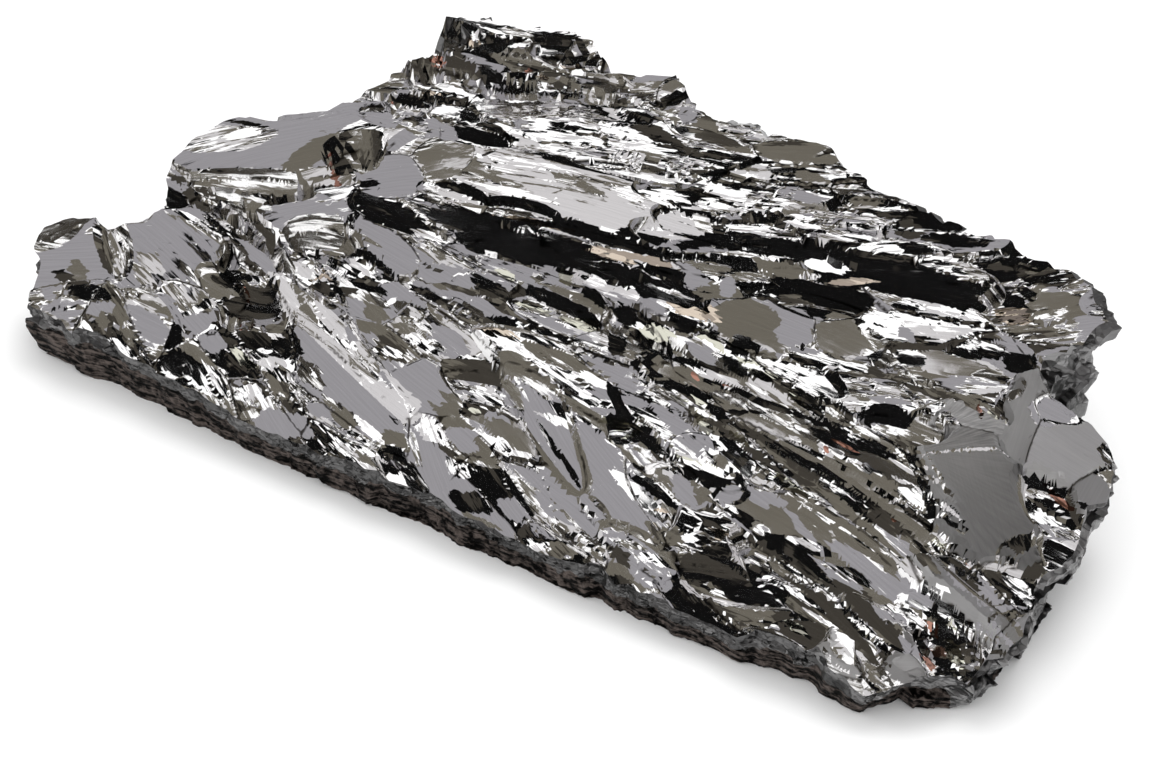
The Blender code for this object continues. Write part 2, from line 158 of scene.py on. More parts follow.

# %% [markdown]
# The lie of the top
#
# Before any crystal face is cut, the top is a soft hill: low along the front crust, higher at the back,
# with its shoulder on the left. It is the weighted mean of heights given at places over the slab, so
# any one of them can be raised without a ripple elsewhere.

# %% Heights of the top: x, y, height
RELIEF = [
    (-66, -21, 4.0), (-48, -22, 3.2), (-25, -22, 2.6), (4, -20, 2.4), (30, -19, 2.2), (54, -17, 2.8),
    (-70, -14, 11.6), (-61, -14, 11.2), (-45, -14, 9.6), (-25, -13, 9.4), (0, -13, 9.2),
    (25, -12, 8.6), (45, -12, 8.2), (61, -9, 6.8),
    (-60, -6, 15.0), (-45, 2, 15.0), (-25, 0, 14.6), (0, 0, 14.4), (20, 0, 13.2), (40, 3, 13.4),
    (54, 4, 12.4), (61, 10, 8.5), (-62, 5, 16.4), (-61, 12, 18.2), (-51, 14, 16.8), (-30, 14, 18.0),
    (-6, 14, 17.6),
    (18, 14, 17.0), (35, 14, 16.2), (49, 18, 15.0), (59, 22, 10.0), (-53, 21, 17.4), (-40, 28, 19.4),
    (-15, 28, 19.5), (10, 28, 18.6), (30, 28, 17.6), (45, 29, 16.0), (56, 28, 11.0), (-47, 35, 19.0),
    (-30, 42, 20.6), (-18, 44, 21.2), (0, 45, 20.8), (20, 42, 21.0), (40, 41, 20.4), (49, 37, 18.6),
]
RELIEF_REACH = 7.5       # how far each place above carries


def relief(x, y):
    """Height of the top before its crystal faces, blended between the places of RELIEF."""
    total = np.zeros_like(x)
    weight = np.full_like(x, 1e-9)
    for px, py, height in RELIEF:
        share = np.exp(-((x - px) ** 2 + (y - py) ** 2) / (2 * RELIEF_REACH ** 2))
        total += share * height
        weight += share
    return total / weight


print("height at the middle:", round(float(relief(np.array([0.0]), np.array([10.0]))[0]), 1))

# %% [markdown]
# The crystal faces
#
# Each face is a long ellipse of influence with a heading. A place on the slab belongs to the face whose
# ellipse it is deepest in, which gives borders like those of crystals that grew until they met. A face may
# be lifted, rolled about its length or pitched along it, so that borders become steps. The named faces are
# the ones that can be picked out on the specimen. The last two values of a row are the face's finish: the
# cloth of the studio that it mirrors from the main side, and a share from 0 to 1 for how broken it is.

# %% Named faces: x, y, length, width, heading, lift, roll, pitch, cloth, broken share
FACES = {
    "nose cap": (-69.4, -12.6, 6, 5, 54, 1.4, -8, 0, "dark", 0.15),
    "left disc": (-65.2, -15.8, 9, 8, 23, 0.4, 16, 4, "lilac", 0.06),
    "left fan": (-54.6, -9.0, 14, 12, -8, 0.4, 6, -4, "lilac", 0.25),
    "left valley": (-61.2, -12.4, 7, 3.4, -32, -0.4, 8, -6, "dark", 0.6),
    "low left heel": (-62.6, -20.4, 8, 5, 40, 0.2, 10, 0, "olive", 0.7),
    "low left step": (-55.6, -19.6, 8, 4.4, -20, 0.4, -8, 0, "dark", 0.8),
    "low left wedge": (-51.4, -17.0, 9, 5.5, 2, 0.5, 10, 5, "olive", 0.7),
    "shoulder": (-54.0, 11.4, 28, 15.5, 50, 0.9, -6, 2, "lilac", 0.12),
    "shoulder ledge": (-51.0, 2.6, 19, 3.4, 22, -1.0, 14, 0, "dark", 0.2),
    "copper pit": (-45.0, 13.8, 7, 6.6, 16, -4.2, 0, 0, "black", 0.6),
    "middle pane": (-43.4, 3.4, 10, 7.4, 45, 0.8, -5, 0, "lilac", 0.3),
    "small pane": (-36.8, 12.8, 7, 6, 34, 0.6, 6, 0, "lilac", 0.25),
    "left groove": (-50.4, -2.8, 20, 2.8, -8, -2.2, 0, 0, "dark", 0.6),
    "first pit": (-46.8, -6.4, 6, 4.0, 20, -2.8, 0, 0, "dark", 0.8),
    "second pit": (-41.2, -11.0, 8, 6, 10, -3.2, 0, 0, "black", 0.9),
    "third pit": (-39.2, 0.9, 9, 3.8, 8, -2.6, 0, 0, "dark", 0.9),
    "white prism": (-26.2, -10.2, 22, 2.8, -17, 1.3, 20, 0, "pale", 0.6),
    "first long pane": (-23.2, -14.8, 19, 5.6, -17, 0.0, 5, 0, "lilac", 0.12),
    "second long pane": (-15.2, -9.8, 11, 5.4, -12, 0.2, -4, 0, "lilac", 0.15),
    "third long pane": (-8.0, -17.2, 9, 4.2, -36, 0.3, 6, 0, "lilac", 0.3),
    "fourth long pane": (13.6, -11.6, 22, 5.8, -23, 0.8, -6, 0, "lilac", 0.2),
    "fifth long pane": (4.8, -9.0, 20, 3.6, -27, 0.0, 8, 0, "lilac", 0.35),
    "pale blade": (6.2, -15.8, 19, 3.4, -16, -0.4, 10, 0, "pale", 0.5),
    "white blade": (0.6, -2.2, 24, 4.6, -7, 0.8, -8, 0, "white", 0.4),
    "hooked rim": (20.6, -3.4, 15, 3.8, -8, 0.5, 8, 0, "white", 0.4),
    "hook hollow": (13.4, -5.4, 10, 3.6, -20, -1.6, 0, 0, "black", 0.7),
    "mottled slope": (-18.0, 2.6, 24, 6.6, -6, 0.2, 6, 0, "olive", 0.75),
    "dark notch": (-9.6, -7.6, 10, 3.6, -2, -1.6, 0, 0, "dark", 0.8),
    "great blade": (-17.2, 21.2, 36, 11.5, 12, 1.0, -3, 0, "pale", 0.35),
    "blade foot": (-33.0, 18.2, 8, 7.4, 48, 0.6, 6, 0, "olive", 0.25),
    "upper blade": (-18.0, 31.6, 34, 10, 18, 0.8, 4, 0, "pale", 0.75),
    "long riser": (-10.2, 11.6, 33, 4.2, 8, -1.6, 12, 0, "black", 0.4),
    "pale strip": (-8.4, 15.6, 28, 2.6, 9, 0.2, -10, 0, "pale", 0.7),
    "under strip": (-10.0, 7.4, 28, 4.2, 2, 0.4, -8, 0, "olive", 0.6),
    "dark band": (19.8, 28.8, 38, 4.6, 17, -1.4, 12, 0, "black", 0.3),
    "short dark band": (16.8, 21.8, 15, 3.6, 22, -0.9, 12, 0, "black", 0.35),
    "bright band": (11.4, 25.0, 20, 3.4, 26, 0.8, -8, 0, "white", 0.5),
    "flat pane": (16.6, 14.6, 15, 8.2, 5, 0.4, 3, 0, "lilac", 0.25),
    "flat disc": (25.2, 18.6, 7, 8, 0, 0.2, 8, 0, "olive", 0.2),
    "upper mottle": (4.4, 34.0, 19, 7.4, 24, 0.5, -9, 0, "white", 0.9),
    "rim pane": (2.8, 42.4, 9, 6, 30, 0.8, 8, 0, "olive", 0.4),
    "right bright": (31.8, 24.2, 18, 4.6, 28, 0.9, -6, 0, "white", 0.5),
    "lens pane": (38.2, 20.6, 13, 5.4, 33, 0.2, 9, 0, "olive", 0.2),
    "banded pane": (34.6, 12.6, 15, 5.8, 24, 0.9, 4, 0, "white", 0.5),
    "far corner": (42.2, 36.4, 13, 11, 44, 0.3, 4, 0, "olive", 0.8),
    "furrow tip": (3.2, 7.6, 12, 4.8, -12, -1.3, -10, -4, "black", 0.6),
    "furrow bank": (27.0, 6.4, 50, 6.4, -8, -0.8, 15, 0, "dark", 0.35),
    "furrow strip": (12.6, 3.0, 14, 4.0, -8, -1.4, -2, 0, "dark", 0.4),
    "furrow bed": (39.0, 0.9, 34, 5.4, -8, -1.9, 8, 0, "dark", 0.35),
    "furrow speckle": (23.4, -0.2, 19, 4.6, -10, -1.6, 8, 0, "black", 0.9),
    "olive slab": (39.0, -5.6, 31, 8.2, -9, -1.2, -5, 0, "olive", 0.25),
    "dark lens": (34.4, -10.2, 12, 3.2, -6, -2.2, 0, 0, "dark", 0.7),
    "olive trough": (42.6, -12.6, 24, 3.4, -14, -1.0, 12, 0, "dark", 0.5),
    "ragged patch": (26.2, -11.6, 11, 6.4, 10, 0.7, -6, 0, "pale", 0.9),
    "dark scar": (32.6, -14.8, 11, 4.0, 8, -1.2, 0, 0, "black", 0.6),
    "crumbled foot": (40.6, -17.4, 18, 3.6, 2, 0.2, 14, 0, "black", 0.9),
    "small plate": (48.6, -18.0, 7, 4.2, -22, 1.2, 14, 0, "lilac", 0.4),
    "end face": (50.4, 6.4, 18, 9.4, -42, 1.4, 8, -5, "olive", 0.06),
    "fan face": (43.6, 15.0, 11, 5.0, 30, 2.2, -8, 0, "olive", 0.25),
    "upright blade": (48.2, 22.0, 14, 4, -72, 1.2, -10, 0, "olive", 0.15),
    "end plate": (55.4, 21.8, 9, 10, 6, 0.8, 0, -4, "lilac", 0.2),
    "end striae": (57.8, 12.6, 7, 6, -10, -0.6, 0, 6, "olive", 0.7),
    "end curve": (60.2, 17.2, 9, 4, 100, 0.4, 0, 0, "lilac", 0.1),
    "arched band": (57.0, -4.8, 16, 4.6, -14, 1.8, -4, 0, "lilac", 0.1),
    "arched lip": (64.0, -7.4, 9, 3.2, -100, 1.6, 0, -8, "lilac", 0.1),
    "end hollow": (58.6, -9.2, 9, 6.4, 30, -3.2, 0, -8, "black", 0.9),
    "end lump": (55.6, -15.4, 6, 4.6, 30, 1.0, 0, 0, "olive", 0.6),
    "crest top": (-36.2, 40.5, 29, 4.8, 20, 5.0, -6, -5, "black", 0.4),
    "crest brow": (-33.6, 37.2, 28, 2.8, 20, 2.8, 50, -4, "dark", 0.6),
    "crest foot": (-32.8, 34.2, 27, 2.4, 20, -1.2, 10, 0, "black", 0.25),
    "saddle": (-19.6, 42.6, 7, 7, 30, 0.6, 0, 0, "dark", 0.5),
    "saddle peak": (-17.6, 43.2, 5, 6, 40, 0.8, 8, 0, "olive", 0.4),
    "lens blade": (-42.0, 30.4, 9, 4, 20, 0.9, 4, 0, "black", 0.6),
    "dark lens blade": (-38.0, 26.6, 8, 3.6, 10, -0.4, 10, 0, "white", 0.8),
    "crystal nest": (-44.6, 25.2, 5, 5, 30, -1.4, 0, 0, "lilac", 0.8),
}
print("named faces:", len(FACES))

# %% [markdown]
# Small faces in between
#
# The gaps are filled with smaller faces from a seeded random generator, laid in rows. Their headings
# follow the fan of the crystals, which turns with the distance from the front. A small face that would
# land inside a named one is left out.

# %% Small faces
FILL_LENGTH, FILL_WIDTH = 15.0, 4.4
FILL_TILTS = (0.6, 14, 3)     # most lift, roll and pitch
FILL_CLEARANCE = 0.95    # share of a named face's reach that a small one keeps off
FILL_ROWS = (-21.0, 46)  # the rows run from the front to the back,
FILL_ALONG = (-72, 66)   # and each from the left end to the right
FILL_SHIFT = (2, 1.2)    # how far a small face strays from its place in the row
FILL_SIZES = (0.6, 1.2)  # and how its size varies
FILL_TURN = 9            # it strays this far from the flow, in degrees
ROW_SPACE, FACE_SPACE = 0.8, 0.72    # spacing of the rows and in a row, as shares of width and length
FLOW_TURN, FLOW_START = 0.8, -3      # degrees of heading for each millimetre from the front, and at y = 0


def flow(y):
    """Heading of the crystals: they fan out from the top left, in degrees from +X."""
    return FLOW_TURN * y + FLOW_START


def own_axes(spot, heading, x, y):
    """Places along and across something that lies at a spot with a heading."""
    turn = math.radians(heading)
    dx, dy = x - spot[0], y - spot[1]
    return dx * math.cos(turn) + dy * math.sin(turn), dy * math.cos(turn) - dx * math.sin(turn)


def reach(face, x, y):
    """Distance from a face's middle, 1 at its own edge."""
    px, py, length, width, heading = face[:5]
    a, b = own_axes((px, py), heading, x, y)
    return np.sqrt((2 * a / length) ** 2 + (2 * b / width) ** 2) + 1e-6


def all_faces():
    """The named faces, with small ones in the flow between them."""
    faces = [tuple(shape) for *shape, cloth, broken in FACES.values()]
    rng = random.Random(SEED)
    y = FILL_ROWS[0]
    while y < FILL_ROWS[1]:
        x = FILL_ALONG[0] + rng.uniform(0, FILL_LENGTH)
        while x < FILL_ALONG[1]:
            px, py = (place + rng.uniform(-shift, shift) for place, shift in zip((x, y), FILL_SHIFT))
            heading = flow(py) + rng.uniform(-FILL_TURN, FILL_TURN)
            length, width = (size * rng.uniform(*FILL_SIZES) for size in (FILL_LENGTH, FILL_WIDTH))
            tilts = [rng.uniform(-most, most) for most in FILL_TILTS]
            if not any(reach(face, px, py) < FILL_CLEARANCE for face in FACES.values()):
                faces.append((px, py, length, width, heading, *tilts))
            x += FILL_LENGTH * FACE_SPACE
        y += FILL_WIDTH * ROW_SPACE
    return faces


faces = all_faces()
table = np.array(faces)
print("faces in all:", len(faces))

# %% [markdown]
# Which face a place is on
#
# For each place the nearest face and the runner-up are kept. Where the two are about equally near, the
# place is beside a border. Places there are drawn up to the border from both sides, so that a step is one
# clean edge and not a row of saw teeth.

# %% Owners, and steps drawn clean
SEAM = 0.12              # half the width of a sharp step, as a share of the grid
SHARP = 0.75             # a step that slopes over less than this share of the grid is sharp


def nearest_faces(x, y):
    """For each place, the face it lies on and the one across the nearest step."""
    first = np.full(x.shape, 1e9)
    second = np.full(x.shape, 1e9)
    own = np.zeros(x.shape, int)
    other = np.zeros(x.shape, int)
    for index, face in enumerate(faces):
        away = reach(face, x, y)
        nearer = away < first
        next_best = ~nearer & (away < second)
        second = np.where(nearer, first, np.where(next_best, away, second))
        other = np.where(nearer, own, np.where(next_best, index, other))
        first = np.where(nearer, away, first)
        own = np.where(nearer, index, own)
    return own, other, second - first


def face_axes(own, x, y):
    """Places along and across the face that owns each of them."""
    turn = np.radians(table[own, 4])
    dx, dy = x - table[own, 0], y - table[own, 1]
    return dx * np.cos(turn) + dy * np.sin(turn), dy * np.cos(turn) - dx * np.sin(turn)


def slope_of_reach(index, x, y):
    """Direction in which the distance from each place's face grows."""
    length, width, heading = table[index][:, 2:5].T
    cos, sin = np.cos(np.radians(heading)), np.sin(np.radians(heading))
    a, b = face_axes(index, x, y)
    ga, gb = 4 * a / length ** 2, 4 * b / width ** 2
    away = np.sqrt((2 * a / length) ** 2 + (2 * b / width) ** 2) + 1e-6
    return (ga * cos - gb * sin) / away, (ga * sin + gb * cos) / away


def nearest_step(x, y):
    """The faces on this side and the far side of the next step, its distance and the way back from it."""
    own, other, gap = nearest_faces(x, y)
    ax, ay = slope_of_reach(own, x, y)
    bx, by = slope_of_reach(other, x, y)
    rise = np.hypot(bx - ax, by - ay) + 1e-9
    return own, other, gap / rise, (bx - ax) / rise, (by - ay) / rise


def draw_to_steps(x, y, step):
    """Moves places up to a sharp step beside them, or to the line where a sloping one starts."""
    own, other, distance, back_x, back_y = nearest_step(x, y)
    run = step_run(own, other, x, y)[1]
    line = np.where(run > SHARP * step, run, SEAM * step)
    near = (np.abs(distance - line) < 0.5 * step) | ((line < 0.5 * step) & (distance < 0.5 * step))
    pull = np.where(near, distance - line, 0)
    return x - pull * back_x, y - pull * back_y, own, other, distance - pull


owner = nearest_faces(np.array([0.0]), np.array([20.0]))[0][0]
print("the place at 0, 20 is on face", owner)

# %% [markdown]
# What each face mirrors, and how broken it is
#
# Some faces are single smooth panes, others have splintered into hundreds of small ones. The named faces
# have their finish in their rows above, and the small ones between them draw it at random, with the odds of
# the part of the slab they are on. The blunt end isn't mirror-bright: its faces are satin, and each is told
# how much light it gives back, a grey that is painted light and shade. Splinters of a dark face stay mostly
# dark, so such a face holds back some of its brokenness.

# %% Finish of every face
CLOTHS = ("black", "dark", "olive", "lilac", "pale", "white")
# painted light and shade: the grey each satin face is given for how it is lit
SATIN = {"end face": 0.50, "fan face": 0.55, "upright blade": 0.42, "end plate": 0.80, "end curve": 0.55,
         "arched band": 0.50, "arched lip": 0.58, "end lump": 0.55, "small plate": 0.75}
# areas of small faces: x, y, length, width, heading, then the odds of CLOTHS; a later area wins
AREAS = [
    ((0, 0, 400, 400, 0), (0.23, 0.21, 0.20, 0.24, 0.06, 0.06)),
    ((-5, -8, 90, 28, -12), (0.14, 0.20, 0.28, 0.32, 0.04, 0.02)),
    ((-20, 28, 44, 26, 15), (0.12, 0.10, 0.14, 0.14, 0.28, 0.22)),
    ((14, 26, 46, 22, 15), (0.42, 0.12, 0.12, 0.11, 0.10, 0.13)),
    ((42, 30, 26, 26, 20), (0.18, 0.16, 0.26, 0.17, 0.10, 0.13)),
    ((0, 42, 60, 8, 4), (0.20, 0.18, 0.22, 0.10, 0.10, 0.20)),
    ((-34, 38, 38, 13, 20), (0.46, 0.28, 0.18, 0.04, 0.02, 0.02)),
    ((29, 1, 60, 17, -9), (0.36, 0.38, 0.22, 0.02, 0.01, 0.01)),
    ((42, -17, 34, 10, 0), (0.38, 0.28, 0.15, 0.10, 0.05, 0.04)),
    ((60, 6, 22, 44, 0), (0.12, 0.18, 0.38, 0.26, 0.03, 0.03)),
]
BROKEN_RANGE = (0.05, 0.65)   # the small faces are broken by a share between these
rng = np.random.RandomState(SEED + 7)
finish_of = []
for index, spot in enumerate(table[:, :2]):
    odds = [share for area, share in AREAS if reach(area, *spot) < 1][-1]
    drawn = (rng.choice(CLOTHS, p=odds), rng.uniform(*BROKEN_RANGE))
    finish_of.append(list(FACES.values())[index][-2:] if index < len(FACES) else drawn)
cloth_of = [cloth for cloth, broken in finish_of]
broken_of = np.array([broken for cloth, broken in finish_of])
HOLD = {"black": 0.4, "dark": 0.5, "olive": 0.75}    # share of the brokenness that is left
held_of = np.array([broken * HOLD.get(cloth, 1) for cloth, broken in finish_of])
print("mean broken share:", round(float(broken_of.mean()), 2))

# %% [markdown]
# Patches within the faces
#
# A real crystal face isn't one mirror: parts of it have broken away at another angle. The patches that can
# be picked out on the specimen are set down here, by the cloth they mirror and by how broken they are.
# Each is an ellipse with pointed ends, sheared a little, because chips are seldom round. A small patch
# lies over a larger one. Cream, beige and copper are tints over a white or pale mirror.
#
# The patches were picked from the main side. The numbers in the table weren't typed by hand: a separate
# program turned the picks into millimetres on the slab and printed them.

# %% Patches: x, y, length, width, heading
BREAKS = {"whole": 0.04, "cracked": 0.2, "splintered": 0.42, "crumbled": 0.75}
SPREAD = 1.3             # patches are laid larger than they are seen, for they have pointed ends
POINTED = 1.4            # 2 would make them ellipses, 1 lozenges
ASKEW = 0.8              # how far a patch is sheared along its length
PATCH_TINT = {"cream": ("white", (0.62, 0.62, 0.53, 1)), "beige": ("pale", (0.60, 0.52, 0.43, 1)),
           "copper": ("white", (0.40, 0.21, 0.16, 1))}
PATCHES = {
    ("black", "whole"): [
     (-59.7, 11.3, 5.1, 0.7, 12), (-32.7, 24.6, 8.6, 2.4, 13), (-15.6, 26.9, 27.5, 0.6, 14),
     (-7.8, 16.8, 11.6, 0.7, 14), (-15.3, 13.1, 26.3, 1.1, 11), (-16.7, 25.7, 15.6, 0.8, 10),
     (1.4, 22.9, 7.3, 1.4, 50), (6.3, 26.1, 6.9, 1.2, 21), (-4.5, 19.3, 5.2, 2.4, 39),
     (-6.6, 17.1, 14.7, 0.7, 13), (-23.7, 11.3, 9.6, 2.7, 14), (-16.4, 11.6, 11.6, 2.2, 8),
     (-8.5, 13.2, 7.1, 1.2, 5), (1.1, 15.2, 8.1, 1.2, 11), (-2.1, 9.5, 5.2, 4.3, 9),
     (0.5, 9.4, 3.1, 2.0, 6),
     (2.4, 4.9, 5.1, 1.4, -42), (7.2, 27.1, 12.1, 2.0, 22), (23.0, 31.4, 24.2, 2.0, 14),
     (28.8, 32.9, 14.2, 1.9, 8), (11.7, 27.8, 8.7, 0.6, 25), (17.3, 24.0, 12.4, 4.6, 13),
     (16.5, 11.1, 2.5, 1.9, -7), (7.0, -5.7, 4.8, 0.8, 14), (20.5, -5.9, 3.3, 1.0, 5),
     (18.3, -9.6, 6.8, 0.7, -6), (10.5, 7.0, 7.0, 0.6, 2), (32.3, 2.4, 11.6, 0.6, -6),
     (16.5, 11.2, 2.7, 1.6, -13), (-33.7, 39.5, 6.8, 0.7, 38), (-38.0, 34.3, 4.0, 0.6, 9),
     (22.6, 30.3, 10.2, 1.9, 22), (31.5, 32.9, 10.6, 1.8, 12), (-14.2, 13.1, 30.1, 2.0, 5),
     (19.1, 29.3, 42.1, 3.4, 15), (-10.9, -5.2, 4.5, 1.3, 10), (58.6, -8.5, 7.6, 3.8, 17)],
    ("black", "cracked"): [
     (-59.9, -18.8, 5.3, 1.7, 20), (-45.7, -8.2, 4.8, 1.6, 18), (-43.0, 7.4, 6.0, 2.5, 18),
     (-33.3, -4.3, 4.8, 1.4, 27), (-14.4, 35.5, 12.8, 1.6, -5), (-10.5, -5.2, 4.1, 1.3, 1),
     (-6.2, 29.5, 6.7, 1.2, 25), (5.4, 15.3, 7.8, 0.7, -5), (-7.6, 10.1, 4.5, 2.1, -33),
     (7.6, 5.4, 4.5, 0.6, 53), (16.1, 11.3, 2.9, 1.7, -13), (14.3, 41.7, 6.5, 0.6, -2),
     (21.5, 30.4, 8.4, 1.4, 15), (16.3, -5.1, 6.6, 0.6, -19), (33.2, -12.7, 9.1, 4.4, 1),
     (10.3, 7.2, 17.2, 0.6, 7), (23.8, 6.5, 21.4, 0.6, 2), (3.0, 4.3, 2.2, 3.1, -4),
     (10.3, 1.6, 6.5, 1.1, -31), (13.1, 3.9, 7.3, 1.2, 9), (19.4, 3.0, 8.4, 1.1, -5),
     (19.6, 4.1, 6.0, 0.6, 21), (23.4, 0.2, 8.2, 0.6, -16), (18.2, -0.4, 6.2, 0.6, -6),
     (10.7, -4.9, 6.5, 0.6, 29), (15.5, -4.9, 6.6, 0.7, -23), (21.9, -5.7, 8.2, 0.6, 15),
     (19.6, -9.7, 7.6, 0.6, -9), (29.9, -10.4, 4.3, 1.1, 50), (31.1, -7.4, 7.9, 1.7, -9),
     (36.3, -7.1, 6.3, 1.9, 8), (27.1, 8.7, 3.5, 0.6, -15), (37.4, 6.4, 6.9, 0.6, 0),
     (33.6, 6.0, 4.8, 0.6, -15), (43.6, 2.6, 20.9, 1.5, -11), (53.2, -0.5, 6.0, 1.8, -20),
     (35.2, 1.6, 17.5, 0.6, -6), (37.3, -8.1, 7.9, 1.6, -16), (43.1, -16.7, 6.5, 3.6, -7),
     (56.7, -8.1, 6.6, 0.9, -34), (59.3, -7.0, 2.6, 0.6, -6), (62.6, -8.1, 5.7, 2.2, -25),
     (60.1, -8.6, 11.0, 0.7, 72), (-43.3, 37.8, 11.1, 2.4, 25), (-43.0, 36.0, 10.8, 0.6, 3),
     (-35.2, 38.3, 11.7, 0.8, 29), (-40.6, 33.1, 12.1, 3.8, 14), (-34.1, 34.4, 18.2, 0.7, 24),
     (-39.6, 28.5, 8.1, 0.8, 8), (-21.0, 37.7, 11.3, 2.6, -1), (34.5, 38.8, 4.0, 1.5, 26),
     (44.0, 27.8, 2.8, 2.5, 11), (54.5, -6.8, 2.5, 1.1, 26), (59.6, -13.2, 2.2, 1.2, 51),
     (-39.5, -12.2, 11.1, 6.0, 1)],
    ("black", "splintered"): [
     (-39.1, 10.3, 2.7, 1.2, 15), (-34.3, -5.5, 4.9, 2.4, 34), (-33.8, -12.7, 4.1, 1.9, -17),
     (-21.5, -8.4, 4.7, 1.1, 18), (-29.7, -2.0, 5.6, 1.1, 7), (-29.0, -0.7, 2.5, 1.3, 25),
     (-40.5, 0.7, 2.6, 1.9, 0), (0.2, -16.9, 3.7, 2.1, -3), (-27.4, -19.3, 4.1, 0.9, -2),
     (-9.0, -21.4, 4.1, 1.7, 4), (8.9, 37.9, 5.7, 1.3, 0), (21.9, 37.9, 3.5, 2.8, 18),
     (16.8, 21.5, 4.0, 1.2, 13), (30.1, 20.7, 3.4, 1.2, 13), (29.6, 35.2, 5.2, 1.7, -7),
     (24.7, 35.2, 4.1, 1.6, 18), (27.8, 39.5, 7.0, 2.2, 30), (38.0, 25.2, 7.9, 2.1, 35),
     (-7.5, -10.5, 2.9, 1.6, 2), (3.0, -9.2, 5.2, 0.6, -24), (8.0, -11.5, 4.4, 0.6, -28),
     (24.0, -16.3, 4.4, 1.1, 16), (1.0, -17.0, 4.2, 2.1, 8), (-0.4, -20.4, 4.9, 2.3, 9),
     (28.0, 0.5, 8.1, 1.4, -3), (32.6, 5.5, 5.8, 1.1, -6), (41.1, 0.4, 13.2, 1.6, -6),
     (39.2, 26.5, 5.6, 1.7, 23), (58.3, 12.7, 5.7, 4.7, -4), (62.3, -9.4, 5.4, 0.7, 14),
     (33.2, 2.5, 45.0, 3.4, -11)],
    ("black", "crumbled"): [
     (-45.1, 14.7, 6.0, 8.6, 32), (-38.5, -0.3, 8.8, 1.9, 1), (-42.9, -8.8, 1.4, 1.3, -11),
     (-41.5, -9.2, 5.2, 1.7, 26), (-38.1, -16.4, 4.1, 1.9, -9), (-1.3, 31.8, 7.0, 3.6, -4),
     (0.0, 36.1, 6.8, 2.8, 2), (2.4, 28.8, 5.8, 1.4, 25), (-15.0, 3.5, 5.9, 1.8, -15),
     (-0.8, 35.7, 3.7, 2.6, 36), (14.7, 39.1, 4.7, 1.5, 29), (-0.9, 32.5, 6.9, 4.2, 17),
     (1.8, 29.1, 6.6, 2.6, 18), (8.9, 31.7, 8.7, 2.7, 19), (29.0, 26.7, 3.3, 2.2, 24),
     (33.5, 19.8, 3.3, 2.3, 22), (2.5, -6.1, 4.4, 1.0, -18), (21.0, -20.6, 3.0, 1.2, 4),
     (29.0, -19.2, 3.7, 2.7, -24), (39.6, 36.5, 2.0, 1.5, 21), (44.6, 19.8, 2.7, 5.5, -11),
     (58.7, 23.3, 2.3, 2.2, 3), (36.0, 6.5, 6.6, 1.2, 4), (49.2, 3.2, 5.6, 1.8, -16),
     (45.0, 3.8, 3.9, 1.5, 7), (52.8, -0.2, 6.6, 1.8, -10), (60.6, 0.6, 4.6, 2.0, -37),
     (52.7, -19.5, 2.8, 0.6, 5), (40.2, -17.5, 24.7, 4.2, -7)],
    ("dark", "whole"): [
     (-10.9, 41.9, 12.2, 1.6, -32), (-7.0, 39.1, 9.7, 2.6, -7), (40.6, -11.2, 11.7, 0.9, -18),
     (46.3, -10.3, 7.8, 3.5, -7), (51.2, -11.3, 5.3, 1.7, -21), (46.3, -13.0, 13.3, 1.1, -19),
     (6.8, 6.8, 13.2, 4.1, 7), (17.9, 7.1, 15.2, 1.9, -5), (-54.8, -0.5, 12.1, 1.6, 2),
     (-48.4, 2.8, 9.2, 1.5, 53)],
    ("dark", "cracked"): [
     (-55.4, -1.0, 8.7, 1.4, 3), (-48.3, 2.8, 9.8, 4.2, 46), (-31.0, 12.2, 3.5, 1.8, 0),
     (-39.3, -9.7, 3.0, 4.1, 16), (-6.5, -16.4, 3.5, 0.7, -4), (4.7, 7.1, 4.8, 3.8, 20),
     (4.0, -15.4, 5.9, 1.4, -12), (23.0, 5.5, 32.3, 2.3, -6), (18.5, 5.3, 36.1, 4.4, 2),
     (26.5, 2.3, 11.8, 1.5, -10), (16.9, -5.9, 5.1, 1.4, -30), (23.0, -13.7, 3.6, 2.3, 7),
     (34.9, -0.6, 9.9, 1.9, -6), (31.1, 8.2, 5.4, 0.7, -10), (36.7, 6.7, 21.5, 2.9, -7),
     (37.2, 0.6, 20.9, 1.9, -7), (47.2, -3.1, 12.0, 2.2, -17), (-29.8, 38.2, 19.6, 4.3, 23),
     (-24.6, 39.1, 6.1, 1.3, 14), (31.2, -0.1, 57.1, 8.8, -11), (38.5, 20.1, 14.3, 8.4, 32),
     (29.1, 6.1, 13.8, 1.5, -8), (40.4, 4.9, 11.8, 1.7, -3), (17.0, 1.2, 12.7, 1.2, 0),
     (29.5, 0.4, 15.3, 2.2, -7), (41.8, 7.9, 6.7, 0.8, -29)],
    ("dark", "splintered"): [
     (-54.2, -22.4, 2.3, 1.4, 36), (-48.3, -4.8, 13.9, 1.9, 7), (-14.9, -15.3, 2.4, 0.8, -18),
     (-28.9, -14.3, 4.5, 1.7, -23), (-30.4, -2.8, 8.0, 1.7, -6), (-21.7, -3.3, 5.6, 1.5, -16),
     (-3.3, -13.9, 4.3, 2.0, -4), (-21.8, -16.7, 6.6, 0.8, -11), (-12.5, 2.0, 4.0, 1.4, -6),
     (-3.6, -9.8, 3.5, 3.5, 2), (-2.9, -14.0, 3.9, 2.0, -11), (43.5, -2.0, 7.9, 3.0, 0),
     (58.2, 3.8, 4.7, 2.0, 74), (-16.3, 2.6, 15.6, 0.7, 10)],
    ("dark", "crumbled"): [
     (-48.9, -13.0, 6.6, 2.5, 10), (-6.8, -7.8, 5.4, 2.4, -24), (-19.6, -22.8, 2.6, 0.8, 6),
     (-14.6, -21.5, 4.8, 0.8, -10), (14.1, -14.5, 5.3, 0.6, -25), (12.8, -20.4, 3.3, 2.1, -10),
     (58.3, -1.1, 4.3, 3.9, -10), (-49.0, -21.5, 29.0, 4.4, 3)],
    ("olive", "whole"): [
